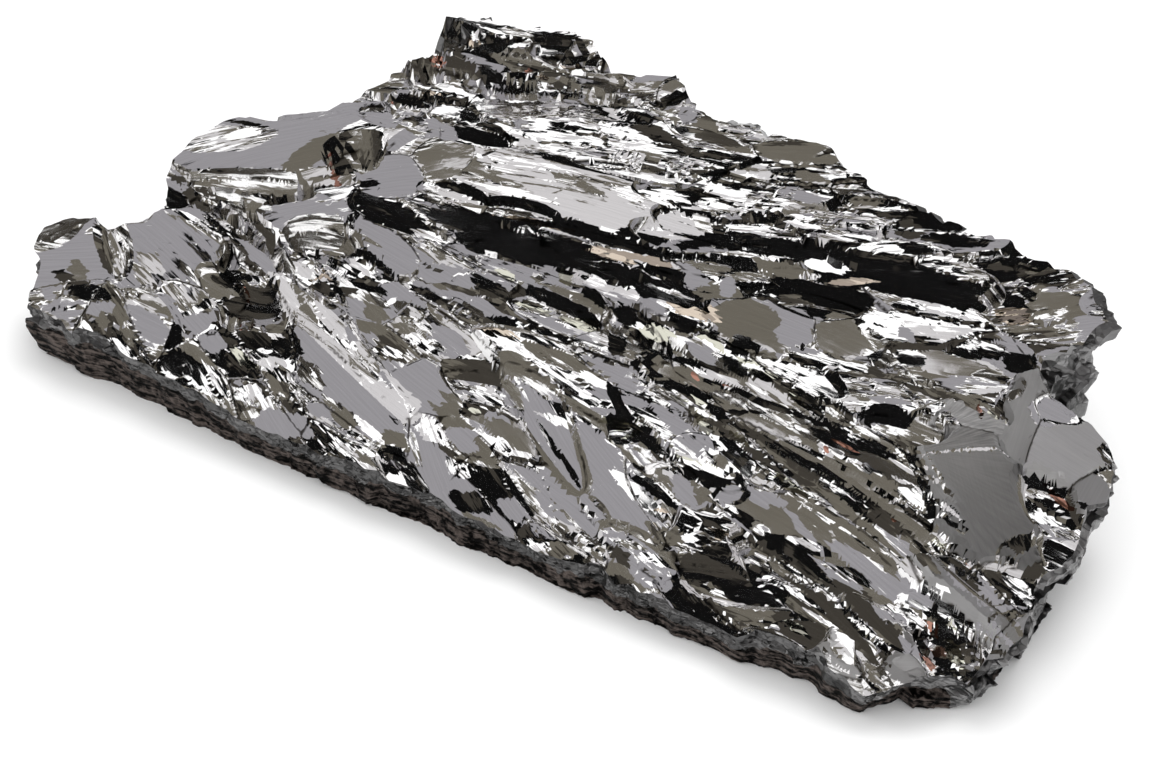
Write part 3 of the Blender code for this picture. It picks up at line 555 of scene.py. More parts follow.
     (-63.6, -16.8, 2.7, 1.6, -35), (-48.3, 9.8, 9.1, 3.3, 83), (-47.9, -1.6, 3.1, 1.0, -19),
     (-32.2, 17.8, 7.4, 3.8, 3), (-34.9, -8.2, 5.9, 1.9, -24), (-26.6, -4.5, 3.6, 1.5, -4),
     (-2.9, -10.8, 7.0, 1.9, -7), (-21.4, -17.4, 2.9, 1.6, 1), (-4.3, 6.3, 9.3, 2.3, -2),
     (10.8, 5.3, 4.6, 2.3, 11), (5.5, 21.2, 5.1, 0.9, 19), (13.9, 14.7, 7.0, 4.9, 23),
     (3.8, 42.0, 8.1, 3.0, 23), (7.2, 39.4, 4.0, 2.3, -13), (5.0, 20.1, 4.9, 2.0, 18),
     (13.9, 14.7, 6.7, 4.5, 15), (25.0, 19.5, 6.6, 4.6, -34), (38.1, 22.1, 8.8, 3.0, 33),
     (-1.4, -11.3, 7.3, 1.6, -4), (13.1, -5.4, 6.6, 2.6, -7), (19.6, -7.8, 7.0, 2.6, -3),
     (39.3, 21.4, 9.8, 3.1, 18), (15.0, 13.3, 7.3, 3.9, -3), (25.0, 18.4, 5.2, 5.6, 30),
     (11.1, 4.8, 9.6, 2.2, 14), (23.4, -6.6, 4.0, 2.4, 9), (31.2, -6.7, 3.4, 1.1, 14),
     (34.1, -4.4, 17.0, 4.4, -1), (31.3, 3.2, 12.4, 1.6, -5), (37.9, 2.5, 26.4, 2.1, -8),
     (-28.8, 42.7, 1.5, 0.7, 15), (-44.1, 30.7, 6.8, 3.0, -13), (-17.5, 44.3, 3.8, 2.2, -7),
     (-15.0, 40.3, 5.4, 2.5, -24), (38.4, 22.2, 9.4, 3.3, 31), (40.8, 3.3, 13.0, 1.5, -1),
     (46.3, -4.6, 9.0, 3.6, -1), (49.3, -11.2, 8.0, 3.6, -8), (38.1, -5.8, 24.9, 4.2, -9),
     (-6.1, -11.9, 10.9, 2.0, 1), (-13.5, -17.8, 4.6, 1.9, -1), (-4.6, 6.0, 9.5, 1.7, -6),
     (21.3, 4.2, 14.6, 1.0, -3), (35.4, 2.8, 13.6, 1.3, -8), (46.2, 1.3, 10.8, 1.2, -8)],
    ("olive", "cracked"): [
     (-61.4, -23.5, 5.6, 0.6, -1), (-52.6, -20.8, 4.1, 0.9, -31), (-49.2, -16.1, 2.8, 1.9, 10),
     (-56.0, -11.9, 3.8, 1.6, -3), (-44.0, 15.8, 8.0, 0.6, 11), (-35.5, 2.9, 5.0, 1.0, -5),
     (-15.9, 21.7, 6.7, 2.6, -16), (0.2, 26.0, 2.9, 1.4, -11), (-19.9, 42.8, 5.1, 2.3, 19),
     (-40.4, -7.2, 1.3, 0.8, 25), (-13.1, -17.6, 4.1, 2.0, -23), (-22.5, -12.2, 7.6, 0.6, -14),
     (-22.1, -5.1, 2.8, 1.1, 8), (-10.3, -10.5, 2.8, 1.2, -7), (-8.4, -12.5, 4.4, 1.7, 11),
     (-31.7, -22.4, 1.6, 1.8, 9), (-34.0, -15.3, 2.7, 2.4, 35), (-21.7, 19.5, 15.5, 3.2, 19),
     (-15.0, 21.5, 5.5, 2.7, -6), (-21.7, 14.2, 13.6, 1.4, 12), (-0.2, -1.3, 10.6, 2.2, 0),
     (-7.1, -12.7, 5.2, 2.1, 10), (22.3, -13.7, 3.6, 2.7, 8), (11.7, -16.1, 5.5, 0.6, -16),
     (2.2, -21.7, 5.4, 0.6, 7), (12.1, 6.7, 19.1, 0.8, 4), (20.5, 7.6, 21.5, 0.9, 0),
     (23.3, 7.7, 10.0, 1.8, -1), (13.0, -5.8, 7.2, 1.8, -13), (19.6, 12.8, 4.3, 1.2, 11),
     (39.3, 7.5, 12.1, 2.6, -6), (48.6, -3.8, 5.7, 0.6, -21), (41.2, -4.0, 23.5, 2.8, -8),
     (50.7, -16.5, 7.1, 3.5, -8), (61.3, -7.0, 3.3, 0.6, -21), (-18.9, 40.4, 3.4, 2.2, 17),
     (43.5, 36.8, 6.5, 4.0, 7), (44.1, 6.7, 9.2, 1.4, -21), (-37.3, -11.3, 6.5, 1.2, -25)],
    ("olive", "splintered"): [
     (-23.8, 18.5, 9.6, 2.5, 16), (-33.5, 36.8, 8.3, 1.1, 17), (42.5, 34.1, 4.8, 3.9, 18)],
    ("lilac", "whole"): [
     (-42.8, -16.1, 3.2, 2.1, 9), (-27.9, -21.1, 7.7, 3.1, -4), (-41.8, 2.7, 9.4, 3.1, 16),
     (-44.8, -3.6, 8.1, 1.4, -12), (-36.2, 12.4, 6.7, 3.4, -6), (-37.4, 23.0, 4.4, 2.1, -13),
     (-29.6, -7.5, 4.2, 3.4, -12), (-23.4, -13.9, 16.3, 4.1, -15), (-25.5, -8.6, 3.2, 2.4, -5),
     (-15.5, -10.2, 7.2, 3.6, -8), (-24.5, -1.3, 5.7, 1.7, -7), (-28.7, 1.8, 7.4, 3.2, 4),
     (-6.1, -13.9, 3.9, 2.1, -3), (-7.0, -18.4, 6.7, 3.0, -20), (-27.3, -22.0, 6.1, 3.3, 11),
     (-24.5, -17.6, 3.4, 1.9, 0), (-16.8, 10.1, 10.7, 3.3, 2), (-5.6, 10.7, 8.4, 3.6, -14),
     (12.3, 8.7, 4.1, 1.3, -8), (0.3, 11.4, 8.8, 2.2, -8), (2.2, 19.1, 5.9, 1.7, -32),
     (4.9, 17.6, 3.2, 1.6, 3), (-12.7, 41.2, 3.2, 2.2, -29), (8.6, 36.0, 3.3, 2.1, -26),
     (4.7, 17.2, 2.3, 1.9, -31), (9.1, 18.3, 2.1, 2.0, -17), (20.0, 16.6, 7.2, 6.0, 5),
     (31.7, 22.2, 2.5, 1.7, -19), (-5.9, -14.1, 3.4, 2.1, -12), (1.2, -8.2, 8.8, 2.4, -12),
     (6.5, -9.7, 8.8, 1.6, -25), (9.2, -13.2, 13.6, 1.8, -22), (7.4, -4.7, 4.0, 0.9, 21),
     (15.0, -11.4, 11.7, 4.7, -17), (5.9, -8.7, 9.0, 1.5, -18), (4.4, -17.9, 4.3, 3.1, -1),
     (-6.5, -19.3, 5.8, 2.8, -18), (26.3, -20.6, 3.4, 0.9, 6), (15.4, -12.5, 18.3, 3.8, -20),
     (19.6, 16.6, 7.8, 4.8, -14), (16.6, -0.9, 8.1, 2.7, -19), (8.0, -1.9, 6.0, 1.5, 12),
     (25.8, -5.5, 2.3, 1.5, 28), (-30.0, 41.8, 1.9, 0.6, 20), (47.6, 37.6, 2.7, 2.3, 18),
     (43.1, 29.2, 5.6, 1.6, -13), (46.0, 30.9, 3.7, 0.6, 51), (54.4, -11.4, 4.4, 1.9, -47),
     (-23.2, -14.4, 18.5, 3.8, -16), (-16.3, -10.6, 8.3, 3.8, -9), (-9.1, -18.1, 6.3, 2.4, -24),
     (50.6, 24.2, 4.2, 4.7, 37), (61.9, -6.9, 6.3, 0.9, -14), (56.3, -5.8, 9.4, 1.1, -6),
     (54.9, -4.7, 11.7, 2.9, -10), (60.9, -3.3, 5.7, 0.6, 44), (50.1, -5.6, 6.1, 1.3, -11)],
    ("lilac", "cracked"): [
     (-62.2, -22.4, 7.5, 1.4, -22), (-57.6, -20.4, 3.9, 1.7, 52), (-50.6, -18.3, 7.5, 1.8, -6),
     (-52.4, -1.3, 6.5, 1.5, -2), (-29.3, 2.8, 8.0, 2.6, 10), (-15.9, -4.3, 6.0, 2.4, -7),
     (-10.2, 5.6, 6.2, 1.4, 0), (-5.0, 2.8, 7.9, 1.0, 4), (21.3, -16.5, 7.4, 2.3, -1),
     (3.5, -13.7, 8.7, 1.3, -5), (8.5, -15.6, 5.9, 1.4, -13), (8.6, -18.6, 3.9, 1.9, -12),
     (23.9, -18.3, 4.9, 2.8, -3), (24.0, -1.2, 4.3, 2.3, -6), (16.2, -2.3, 8.1, 1.9, -19),
     (6.0, 0.7, 7.8, 2.5, -12), (21.1, -7.9, 3.8, 1.8, -20), (29.1, -3.6, 4.9, 1.4, 9),
     (35.7, -5.2, 7.9, 0.7, -22), (46.4, -6.1, 12.1, 2.0, -6), (50.2, -9.3, 3.3, 1.4, 8),
     (-39.7, 34.4, 5.4, 0.8, 14), (-47.5, 29.4, 5.1, 1.5, -36), (-46.6, 25.8, 2.2, 1.4, -26),
     (-43.6, 24.9, 7.3, 1.7, -35), (-20.1, 44.1, 4.9, 2.7, 35), (-14.0, 43.2, 5.3, 1.9, -31),
     (41.0, 21.3, 6.9, 1.7, 36), (35.5, 12.4, 3.2, 1.3, 33), (36.9, 10.0, 6.3, 2.2, 23),
     (54.2, -2.2, 5.2, 0.8, 4), (-46.4, -14.3, 4.8, 3.8, 45), (-54.7, 17.1, 1.0, 0.6, 45),
     (0.8, -7.8, 19.6, 2.6, -20), (1.9, -11.5, 7.9, 2.8, -19), (-16.4, 2.3, 18.7, 4.7, 2)],
    ("lilac", "splintered"): [
     (4.6, 1.1, 10.7, 2.6, -1), (13.4, -3.5, 9.6, 2.0, -9), (42.3, -7.9, 5.6, 1.2, -5),
     (-12.8, 6.1, 27.0, 7.7, 0)],
    ("lilac", "crumbled"): [
     (-11.0, -17.3, 7.5, 0.9, -37)],
    ("pale", "whole"): [
     (-11.2, 19.5, 15.2, 5.9, 25), (-2.7, 24.6, 6.0, 2.6, 2), (-17.4, -13.2, 4.5, 1.0, -11),
     (-11.1, 19.8, 16.1, 6.0, 22), (47.1, 10.9, 8.7, 0.4, 40)],
    ("pale", "cracked"): [
     (-35.5, -3.5, 8.3, 2.6, 13), (-37.8, -4.3, 2.4, 1.4, 24), (-29.8, -8.8, 7.1, 1.3, -12),
     (-22.9, 21.7, 10.1, 2.9, 5), (-5.0, 14.2, 10.6, 0.4, 14), (32.7, 4.0, 1.8, 0.4, 0),
     (28.3, 4.2, 1.5, 0.4, -6), (32.6, 4.1, 2.1, 0.5, -18), (43.4, 2.8, 1.3, 0.4, 12),
     (50.3, 1.0, 3.4, 0.4, -11), (-44.0, 26.2, 8.3, 0.7, -40), (-20.2, 36.7, 4.6, 1.2, -5),
     (-14.2, 20.3, 31.2, 7.4, 20)],
    ("pale", "splintered"): [
     (-55.7, -13.6, 4.8, 1.2, -10), (-24.1, -11.5, 6.6, 1.1, -14), (-12.1, 30.7, 12.0, 2.4, 24),
     (28.8, 37.6, 4.1, 1.5, 38), (6.8, -14.3, 15.4, 1.3, -11), (17.8, 5.8, 1.1, 0.4, -27),
     (6.3, 3.8, 1.3, 0.4, -11), (34.3, -1.1, 3.7, 1.3, 4), (46.0, 2.6, 4.2, 0.4, -8),
     (54.4, -0.6, 4.0, 0.8, -20), (37.1, -6.3, 4.2, 0.7, -8), (-26.3, 33.4, 12.4, 3.2, 20),
     (35.2, 34.5, 2.4, 0.8, -16), (50.3, -9.0, 3.4, 2.3, 10), (-24.4, 30.1, 27.8, 8.5, 11),
     (1.5, 1.7, 29.1, 4.5, 6), (-19.8, -19.8, 11.5, 2.6, -5)],
    ("pale", "crumbled"): [
     (-59.4, 7.6, 9.5, 5.0, 46), (-40.8, 19.6, 4.7, 5.7, 58), (13.3, 34.0, 4.8, 2.7, -15),
     (10.5, -21.0, 4.9, 1.6, -8), (34.2, 18.8, 3.8, 2.1, -26)],
    ("white", "whole"): [
     (16.2, 28.8, 4.3, 1.8, 12), (10.5, -7.3, 7.2, 0.4, -18), (17.7, -8.9, 8.3, 0.5, -6),
     (16.5, -10.9, 6.4, 1.7, -14), (28.0, 5.3, 2.0, 0.4, 2), (20.3, -1.2, 7.2, 3.6, 3),
     (25.0, -2.5, 3.5, 1.4, 77), (17.2, -10.8, 6.7, 0.9, -8), (-39.5, 37.4, 6.4, 0.6, -2),
     (-34.1, 38.9, 7.5, 0.4, 32), (-27.5, 42.9, 0.8, 0.4, 40), (-41.2, 29.8, 12.1, 0.9, 0)],
    ("white", "cracked"): [
     (-63.0, -18.3, 5.5, 1.4, -5), (-57.6, -23.4, 2.2, 1.0, 3), (-58.5, 9.3, 4.2, 2.0, 42),
     (-32.3, -0.3, 3.4, 1.8, -6), (-38.5, -7.5, 3.4, 0.4, -6), (-28.5, -14.3, 1.8, 0.6, -29),
     (-20.5, -12.3, 4.9, 1.0, -19), (-11.0, -7.1, 2.0, 0.4, -12), (-2.0, -12.4, 4.2, 1.0, 5),
     (-4.3, -17.6, 3.2, 1.7, -9), (-17.5, -17.4, 5.2, 0.9, -18), (-21.9, 17.0, 8.4, 1.4, 10),
     (-6.8, 25.8, 7.3, 3.7, 14), (4.7, 27.6, 8.0, 1.4, 24), (-27.9, 14.2, 6.5, 1.0, 5),
     (-5.9, 0.8, 9.4, 2.2, 7), (3.4, -2.2, 8.3, 1.8, 7), (-1.7, 12.9, 11.0, 1.5, 11),
     (8.5, 28.2, 14.1, 0.5, 17), (10.7, 23.5, 4.2, 1.0, 19), (28.3, 22.2, 5.1, 2.9, 20),
     (34.2, 27.1, 11.8, 4.4, 22), (2.4, -7.1, 4.5, 0.7, 2), (24.1, -11.1, 3.6, 2.7, -5),
     (0.8, -12.7, 5.5, 0.8, 7), (17.3, -20.4, 2.0, 1.1, 23), (12.9, 6.7, 3.4, 0.4, -6),
     (8.6, -2.9, 5.5, 1.8, 16), (16.8, -3.9, 9.4, 0.4, -6), (25.7, -9.0, 7.4, 2.5, 35),
     (26.1, -12.7, 2.6, 1.8, 22), (37.6, -9.4, 5.4, 0.4, -12), (42.6, -10.7, 9.0, 0.6, -15),
     (49.0, -12.6, 5.2, 0.4, -12), (-41.9, 36.3, 6.7, 0.4, -5), (-36.9, 38.5, 4.2, 2.0, -5),
     (-40.3, 31.7, 1.7, 0.4, 50), (-37.9, 26.8, 10.3, 1.5, -3), (-18.5, 44.3, 2.9, 0.4, 70),
     (-17.1, 42.6, 2.2, 0.4, 10), (27.9, 22.6, 4.9, 3.6, 18), (34.4, 26.7, 11.7, 3.8, 23),
     (43.0, 21.8, 4.1, 0.6, 49), (40.5, 13.4, 2.8, 2.1, 41), (52.4, -6.9, 2.5, 0.7, 7),
     (-0.6, -3.0, 23.8, 1.7, -3), (-5.1, 1.2, 13.9, 2.4, 9)],
    ("white", "splintered"): [
     (-54.8, -15.5, 3.2, 1.4, 57), (-46.7, -12.7, 5.7, 0.9, 56), (-33.5, -20.3, 3.5, 1.0, 6),
     (-43.7, -2.1, 5.7, 0.9, -14), (-8.1, 24.7, 6.5, 2.5, 8), (-36.1, -14.1, 1.9, 0.5, 35),
     (-20.2, -5.4, 2.6, 1.4, -2), (-17.5, -5.7, 3.1, 1.4, -1), (-25.7, -2.7, 1.5, 0.6, 60),
     (-21.6, -0.1, 8.3, 0.8, 2), (-32.6, -0.5, 4.2, 2.3, 13), (-10.7, -14.9, 5.0, 1.9, -15),
     (-33.9, -20.3, 3.4, 1.8, 15), (-31.0, -20.4, 3.1, 1.2, 9), (-31.8, -16.5, 4.1, 1.0, 0),
     (-27.8, -17.5, 2.7, 2.6, 11), (-12.2, -19.2, 4.0, 1.1, -11), (-9.2, 33.0, 14.2, 2.2, 13),
     (4.0, 32.2, 3.8, 2.4, -24), (5.8, 18.8, 5.7, 2.0, 0), (-4.1, 36.5, 9.1, 3.4, 26),
     (8.5, 41.5, 3.3, 2.1, 9), (4.2, 31.7, 2.4, 3.6, 19), (16.7, 32.6, 10.1, 1.4, 32),
     (10.6, 20.9, 4.2, 2.3, 19), (29.5, 34.4, 7.3, 1.8, 8), (13.1, -2.6, 7.7, 0.7, -8),
     (19.6, -16.8, 4.0, 0.9, 16), (10.7, -15.0, 7.1, 0.5, -11), (-10.6, -14.6, 4.7, 1.6, -14),
     (23.3, -20.7, 2.3, 0.5, -13), (23.8, 9.1, 9.5, 1.5, -10), (35.9, 12.8, 13.9, 3.5, 2),
     (11.2, 0.1, 3.6, 1.1, 2), (38.0, 7.1, 5.8, 0.4, 4), (38.4, 9.6, 5.4, 0.4, 15),
     (43.0, 6.1, 7.2, 0.4, -5), (33.3, 7.2, 5.2, 0.4, -4), (37.2, 4.2, 2.6, 0.7, -6),
     (43.8, 4.7, 4.1, 0.5, -2), (48.9, 3.6, 5.1, 0.5, -11), (50.1, 2.3, 4.2, 0.5, -10),
     (39.8, 4.1, 1.9, 0.4, 2), (38.3, -3.1, 9.0, 0.4, -6), (40.4, -12.2, 7.7, 0.6, -9),
     (43.6, -13.6, 6.0, 0.5, -5), (-31.4, 36.3, 2.5, 0.4, 19), (-32.5, 29.6, 7.8, 3.1, -20),
     (34.6, 12.5, 9.3, 2.8, 11), (43.9, -7.3, 3.7, 1.2, 1), (48.5, -12.3, 8.3, 0.4, -14),
     (-36.3, -14.3, 4.7, 1.2, 33), (-9.8, -15.1, 10.2, 1.0, -12)],
    ("white", "crumbled"): [
     (-61.5, -10.9, 3.8, 0.8, -23), (-53.0, -5.1, 9.8, 0.6, 2), (-39.7, -8.0, 1.6, 1.0, 22),
     (-21.3, -3.1, 3.4, 1.0, -11), (-17.7, -21.5, 9.1, 3.4, -7), (-3.7, 42.1, 5.3, 1.2, 3),
     (17.6, 37.7, 6.6, 4.2, 21), (5.7, 34.5, 4.9, 2.2, 0)],
    ("cream", "whole"): [
     (4.6, 9.1, 6.8, 1.1, -3), (9.3, -4.5, 3.9, 0.6, 35), (20.1, -5.2, 3.0, 1.1, 5),
     (58.0, -7.5, 2.3, 1.5, 6)],
    ("cream", "cracked"): [
     (-8.8, 10.0, 4.5, 1.4, -43), (-14.6, 5.8, 3.1, 1.1, -16), (12.6, 10.2, 4.8, 1.3, -12),
     (-7.0, -10.6, 1.8, 0.4, 8), (9.7, -4.5, 4.8, 0.7, 25), (21.6, -4.8, 8.2, 0.9, 4),
     (18.4, 9.5, 3.7, 1.2, -10), (42.7, -17.1, 2.5, 0.8, -12), (58.0, -7.6, 3.2, 2.0, -42),
     (50.2, 0.8, 2.5, 0.6, -7), (57.8, -6.8, 2.9, 0.9, 3), (58.3, -8.4, 1.9, 1.5, 9)],
    ("cream", "splintered"): [
     (-37.9, -16.3, 4.1, 1.0, -9), (16.8, 9.2, 5.5, 1.7, 0), (12.4, 10.2, 4.6, 2.0, -5),
     (13.8, 2.7, 5.4, 1.8, -4), (17.0, 1.9, 4.9, 1.3, -32), (20.1, 2.0, 6.1, 1.6, -15),
     (25.1, 0.2, 7.8, 1.5, -20), (32.2, -1.0, 6.7, 1.2, 3), (20.7, 9.1, 3.3, 0.9, -3),
     (26.5, 8.4, 7.2, 1.1, -17), (32.2, -1.2, 5.0, 0.9, -7), (46.4, 18.8, 3.9, 0.7, -31)],
    ("cream", "crumbled"): [
     (-8.9, 3.8, 4.0, 2.6, 15), (-2.6, 4.8, 4.2, 1.4, 5)],
    ("beige", "whole"): [
     (-3.0, 16.4, 10.0, 1.8, 16)],
    ("beige", "cracked"): [
     (-17.2, 14.5, 9.1, 0.7, 15), (-35.3, -3.5, 3.1, 2.4, 43), (-10.2, -1.6, 5.4, 1.1, 6),
     (6.3, 13.3, 9.0, 2.8, -5), (20.3, 28.7, 5.7, 0.7, 33), (27.9, -10.8, 3.2, 1.7, 31),
     (20.1, -11.2, 2.2, 0.4, 11), (-42.2, 35.9, 2.5, 0.4, -18), (-42.8, 28.2, 4.1, 0.4, 0)],
    ("beige", "splintered"): [
     (-31.9, 36.7, 2.3, 0.4, 12), (-30.2, 39.2, 4.3, 2.2, -12)],
    ("beige", "crumbled"): [
     (39.8, 32.9, 3.5, 2.1, 11)],
    ("copper", "whole"): [
     (54.8, -8.3, 1.7, 0.5, -55), (56.6, -11.5, 5.2, 1.3, -52), (44.7, 17.6, 4.2, 0.7, -57),
     (54.5, -8.4, 2.2, 0.8, -35)],
    ("copper", "cracked"): [
     (-45.0, 10.7, 5.8, 1.3, -43), (-43.1, -9.1, 0.8, 0.5, 8), (12.8, 6.1, 1.4, 0.4, -28),
     (32.3, 4.0, 0.8, 0.4, -3), (54.9, -8.1, 1.8, 0.8, -26), (56.9, -11.8, 6.1, 0.9, -50),
     (57.0, -11.7, 6.0, 1.3, -49)],
    ("copper", "splintered"): [
     (32.5, 4.3, 0.8, 0.4, -12), (57.7, 14.7, 3.8, 0.7, -12), (-41.7, -11.6, 4.2, 0.4, -36)],
    ("copper", "crumbled"): [
     (17.2, 6.4, 1.3, 0.4, -10), (34.7, 5.4, 3.2, 0.4, -3), (44.1, 0.7, 1.1, 0.4, 8),
     (43.6, 4.0, 1.4, 0.4, 12), (55.0, -0.9, 1.4, 0.4, -33), (-45.3, 32.5, 2.0, 0.4, 17),
     (-34.0, 36.3, 1.5, 0.4, 17), (-25.4, 42.5, 4.4, 0.4, -32)],
}
patches = [(px, py, length * SPREAD, width * SPREAD, heading, kind, BREAKS[state] * HOLD.get(kind, 1))
           for (kind, state), spots in PATCHES.items() for px, py, length, width, heading in spots]
patches.sort(key=lambda patch: -patch[2] * patch[3])
print("patches:", len(patches))

# %% [markdown]
# Splinters
#
# A splinter is a long chip of a face, tilted a little from it. They are laid in a jittered lattice along
# the face's own heading: a place looks at the nine nearest chips and takes the closest one's tilt. One
# function serves for any size of chip.

# %% Splinters of a given size
LEAST_PLACE, PLACE_ROOM = 0.15, 0.7    # where in its lattice cell a chip can sit


def hashed(i, j, k, seed):
    """A repeatable random number from 0 to 1 for each lattice cell; the factors only scatter it."""
    value = np.sin(i * 127.1 + j * 311.7 + k * 74.7 + seed * 53.3) * 43758.5453
    return value - np.floor(value)


def splinters(a, b, own, length, width, seed):
    """Tilt and lift of the chip that each place is on: rise along, rise across, lift and its place."""
    p, q = a / length, b / width
    i0, j0 = np.floor(p), np.floor(q)
    best = np.full(a.shape, 1e9)
    chip_of = [np.zeros_like(a) for _ in range(5)]
    for di in (-1, 0, 1):
        for dj in (-1, 0, 1):
            i, j = i0 + di, j0 + dj
            cp = i + LEAST_PLACE + PLACE_ROOM * hashed(i, j, own, seed)
            cq = j + LEAST_PLACE + PLACE_ROOM * hashed(i, j, own, seed + 1)
            away = (p - cp) ** 2 + (q - cq) ** 2
            nearer = away < best
            best = np.where(nearer, away, best)
            draws = ((p - cp) * length, (q - cq) * width) + tuple(
                hashed(i, j, own, seed + n) * 2 - 1 for n in (2, 3, 4))
            chip_of = [np.where(nearer, new, old) for new, old in zip(draws, chip_of)]
    return chip_of


print("a lattice cell's number:", round(float(hashed(1.0, 2.0, 3.0, 4.0)), 3))

# %% [markdown]
# Height of the top
#
# The height is the sum of the lie of the land, the tilt of the face and, where it is broken, the tilt and
# lift of two sizes of splinter.

# %% The top surface
CHIPS = ((9.0, 2.2, 0.12, 0.16, 1.0),  # length, width, rise across for each millimetre, lift, seed
         (2.6, 0.9, 0.05, 0.04, 9.0))
CHIP_PITCH = 0.35        # rise along a chip, as a share of the rise across it
CALM = 1.6               # chips fade over this distance to a step, so that its edge stays clean
LEAST_CALM = 0.1         # share of the chips that is left at the step itself
STEEPEST, GENTLEST = 0.3, 0.9          # half the run of a step for each millimetre of its rise
SHORTEST_RUN, LONGEST_RUN = 0.1, 1.0   # and the limits of that half


def face_plane(own, x, y):
    """Height of each place's face before it is chipped."""
    length, width, lift, roll, pitch = table[own][:, [2, 3, 5, 6, 7]].T
    a, b = face_axes(own, x, y)
    return (relief(x, y) + lift + np.tan(np.radians(roll)) * np.clip(b, -width, width)
            + np.tan(np.radians(pitch)) * np.clip(a, -length, length))


def chipping(own, x, y):
    """Height added by the splinters of each place's face."""
    a, b = face_axes(own, x, y)
    height = 0
    for length, width, roll, lift, seed in CHIPS:
        da, db, rise_a, rise_b, up = splinters(a, b, own, length, width, seed)
        height = height + lift * up + roll * (CHIP_PITCH * rise_a * da + rise_b * db)
    return broken_of[own] * height


def step_run(own, other, x, y):
    """Rise of the next step, and half the distance over which it slopes."""
    rise = face_plane(own, x, y) - face_plane(other, x, y)
    slope = STEEPEST + (GENTLEST - STEEPEST) * hashed(own + other, own * other, 0, 5)
    return rise, np.clip(np.abs(rise) * slope, SHORTEST_RUN, LONGEST_RUN)


def top_height(own, other, x, y, to_step):
    """Height of the top at each place, sloped beside a step."""
    rise, run = step_run(own, other, x, y)
    mine = np.clip(0.5 + 0.5 * to_step / run, 0, 1)
    calm = np.clip(to_step / CALM, LEAST_CALM, 1)
    return face_plane(own, x, y) - (1 - mine) * rise + chipping(own, x, y) * calm


print("lengths of the chips, mm:", [length for length, *_ in CHIPS])

# %% [markdown]
# The broken sides
#
# The sides and the back are broken walls with ledges, and the front is the edge of the layered crust. A
# ledge stands out where its chip of the wall does, and the foot is drawn in under the rim, most at the
# back. The same seeded draws as in the solid keep its ledges in their places.

# %% Ledges and undercut
UNDERCUT_FRONT, UNDERCUT_BACK = 0.012, 0.075   # share by which the foot is drawn in
UNDERCUT_WAVES = ((0.35, 3, 1), (0.3, 8, 0))   # size, count round the foot and start of its waves
WALL_LEDGE = 1.5         # how far a chip of the wall stands out or in,
WALL_LEAN = 24           # and how far it leans, in degrees
WALL_GRAIN = 2.2         # the chips are this much longer than they are high
FRONT_LEDGE = 0.25       # share of all this on the front
LEDGE_HEIGHTS = (2.5, 7.5, 12.5, 17.5)
LEDGE_STRAY = 2.4        # how far a chip strays from its place,
LEDGE_SIZES = (0.7, 1.6)               # and how its size varies
LEDGES_PER_POINT = 1.2   # chips along the rim for each of its points


def undercut(angle):
    """Share by which the underside is drawn in, seen from the middle towards each direction."""
    from_front = 0.5 + 0.5 * np.sin(angle)
    waves = 1 + sum(size * np.sin(count * angle + start) for size, count, start in UNDERCUT_WAVES)
    return UNDERCUT_FRONT + UNDERCUT_BACK * from_front * waves


def wall_ledge(x, y, z):
    """How far the broken layers of the sides stand out at each place."""
    rng = np.random.RandomState(SEED + 5)
    best = np.full(x.shape, 1e9)
    stand_out = np.zeros_like(x)
    for rim in (FRONT_RIM, BACK_RIM, LEFT_RIM, RIGHT_RIM):
        chunky = FRONT_LEDGE if rim is FRONT_RIM else 1.0
        for px, py in along(rim, round(len(rim) * LEDGES_PER_POINT)):
            for pz in LEDGE_HEIGHTS:
                cx, cy, cz = np.array((px, py, pz)) + rng.uniform(-LEDGE_STRAY, LEDGE_STRAY, 3)
                lift = rng.uniform(-WALL_LEDGE, WALL_LEDGE) * chunky
                lean = math.tan(math.radians(rng.uniform(-WALL_LEAN, WALL_LEAN))) * chunky
                size = rng.uniform(*LEDGE_SIZES)
                away = ((x - cx) ** 2 + (y - cy) ** 2 + (WALL_GRAIN * (z - cz)) ** 2) / size ** 2
                nearer = away < best
                best = np.where(nearer, away, best)
                stand_out = np.where(nearer, lift + lean * (z - cz), stand_out)
    return stand_out


print("ledges at heights:", LEDGE_HEIGHTS)

# %% [markdown]
# The blank
#
# The blank is a square grid whose outer edge is extruded down, one course after another, and closed with
# one flat face below. A layer on its vertices remembers how far up the wall each one is.

# %% A grid with a skirt of courses
WALL_COURSES = 22        # rows of small faces from the rim to the foot
count_long = round(LENGTH / FINE_STEP)
count_cross = round(WIDTH / FINE_STEP)
bm = bmesh.new()
level_of = bm.verts.layers.float.new("level")
bmesh.ops.create_grid(bm, x_segments=count_long, y_segments=count_cross, size=0.5)
for vert in bm.verts:
    vert[level_of] = 1.0
ring = [edge for edge in bm.edges if edge.is_boundary]
for course in range(WALL_COURSES):
    skirt = bmesh.ops.extrude_edge_only(bm, edges=ring)["geom"]
    ring = [item for item in skirt if isinstance(item, bmesh.types.BMEdge) and item.is_boundary]
    for vert in (item for item in skirt if isinstance(item, bmesh.types.BMVert)):
        vert[level_of] = 1 - (course + 1) / WALL_COURSES
bmesh.ops.edgeloop_fill(bm, edges=ring)
bmesh.ops.recalc_face_normals(bm, faces=bm.faces[:])
print("blank:", len(bm.verts), "vertices,", len(bm.faces), "faces")

# %% [markdown]
# Shaping the blank
#
# Every vertex is sent to its place in one pass. Those of the top go to the height of their face. Those of
# the wall run down from the rim, from its chipped line to a worn one at the foot. At the end the whole is
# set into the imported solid's box, so that it can't stand outside it.

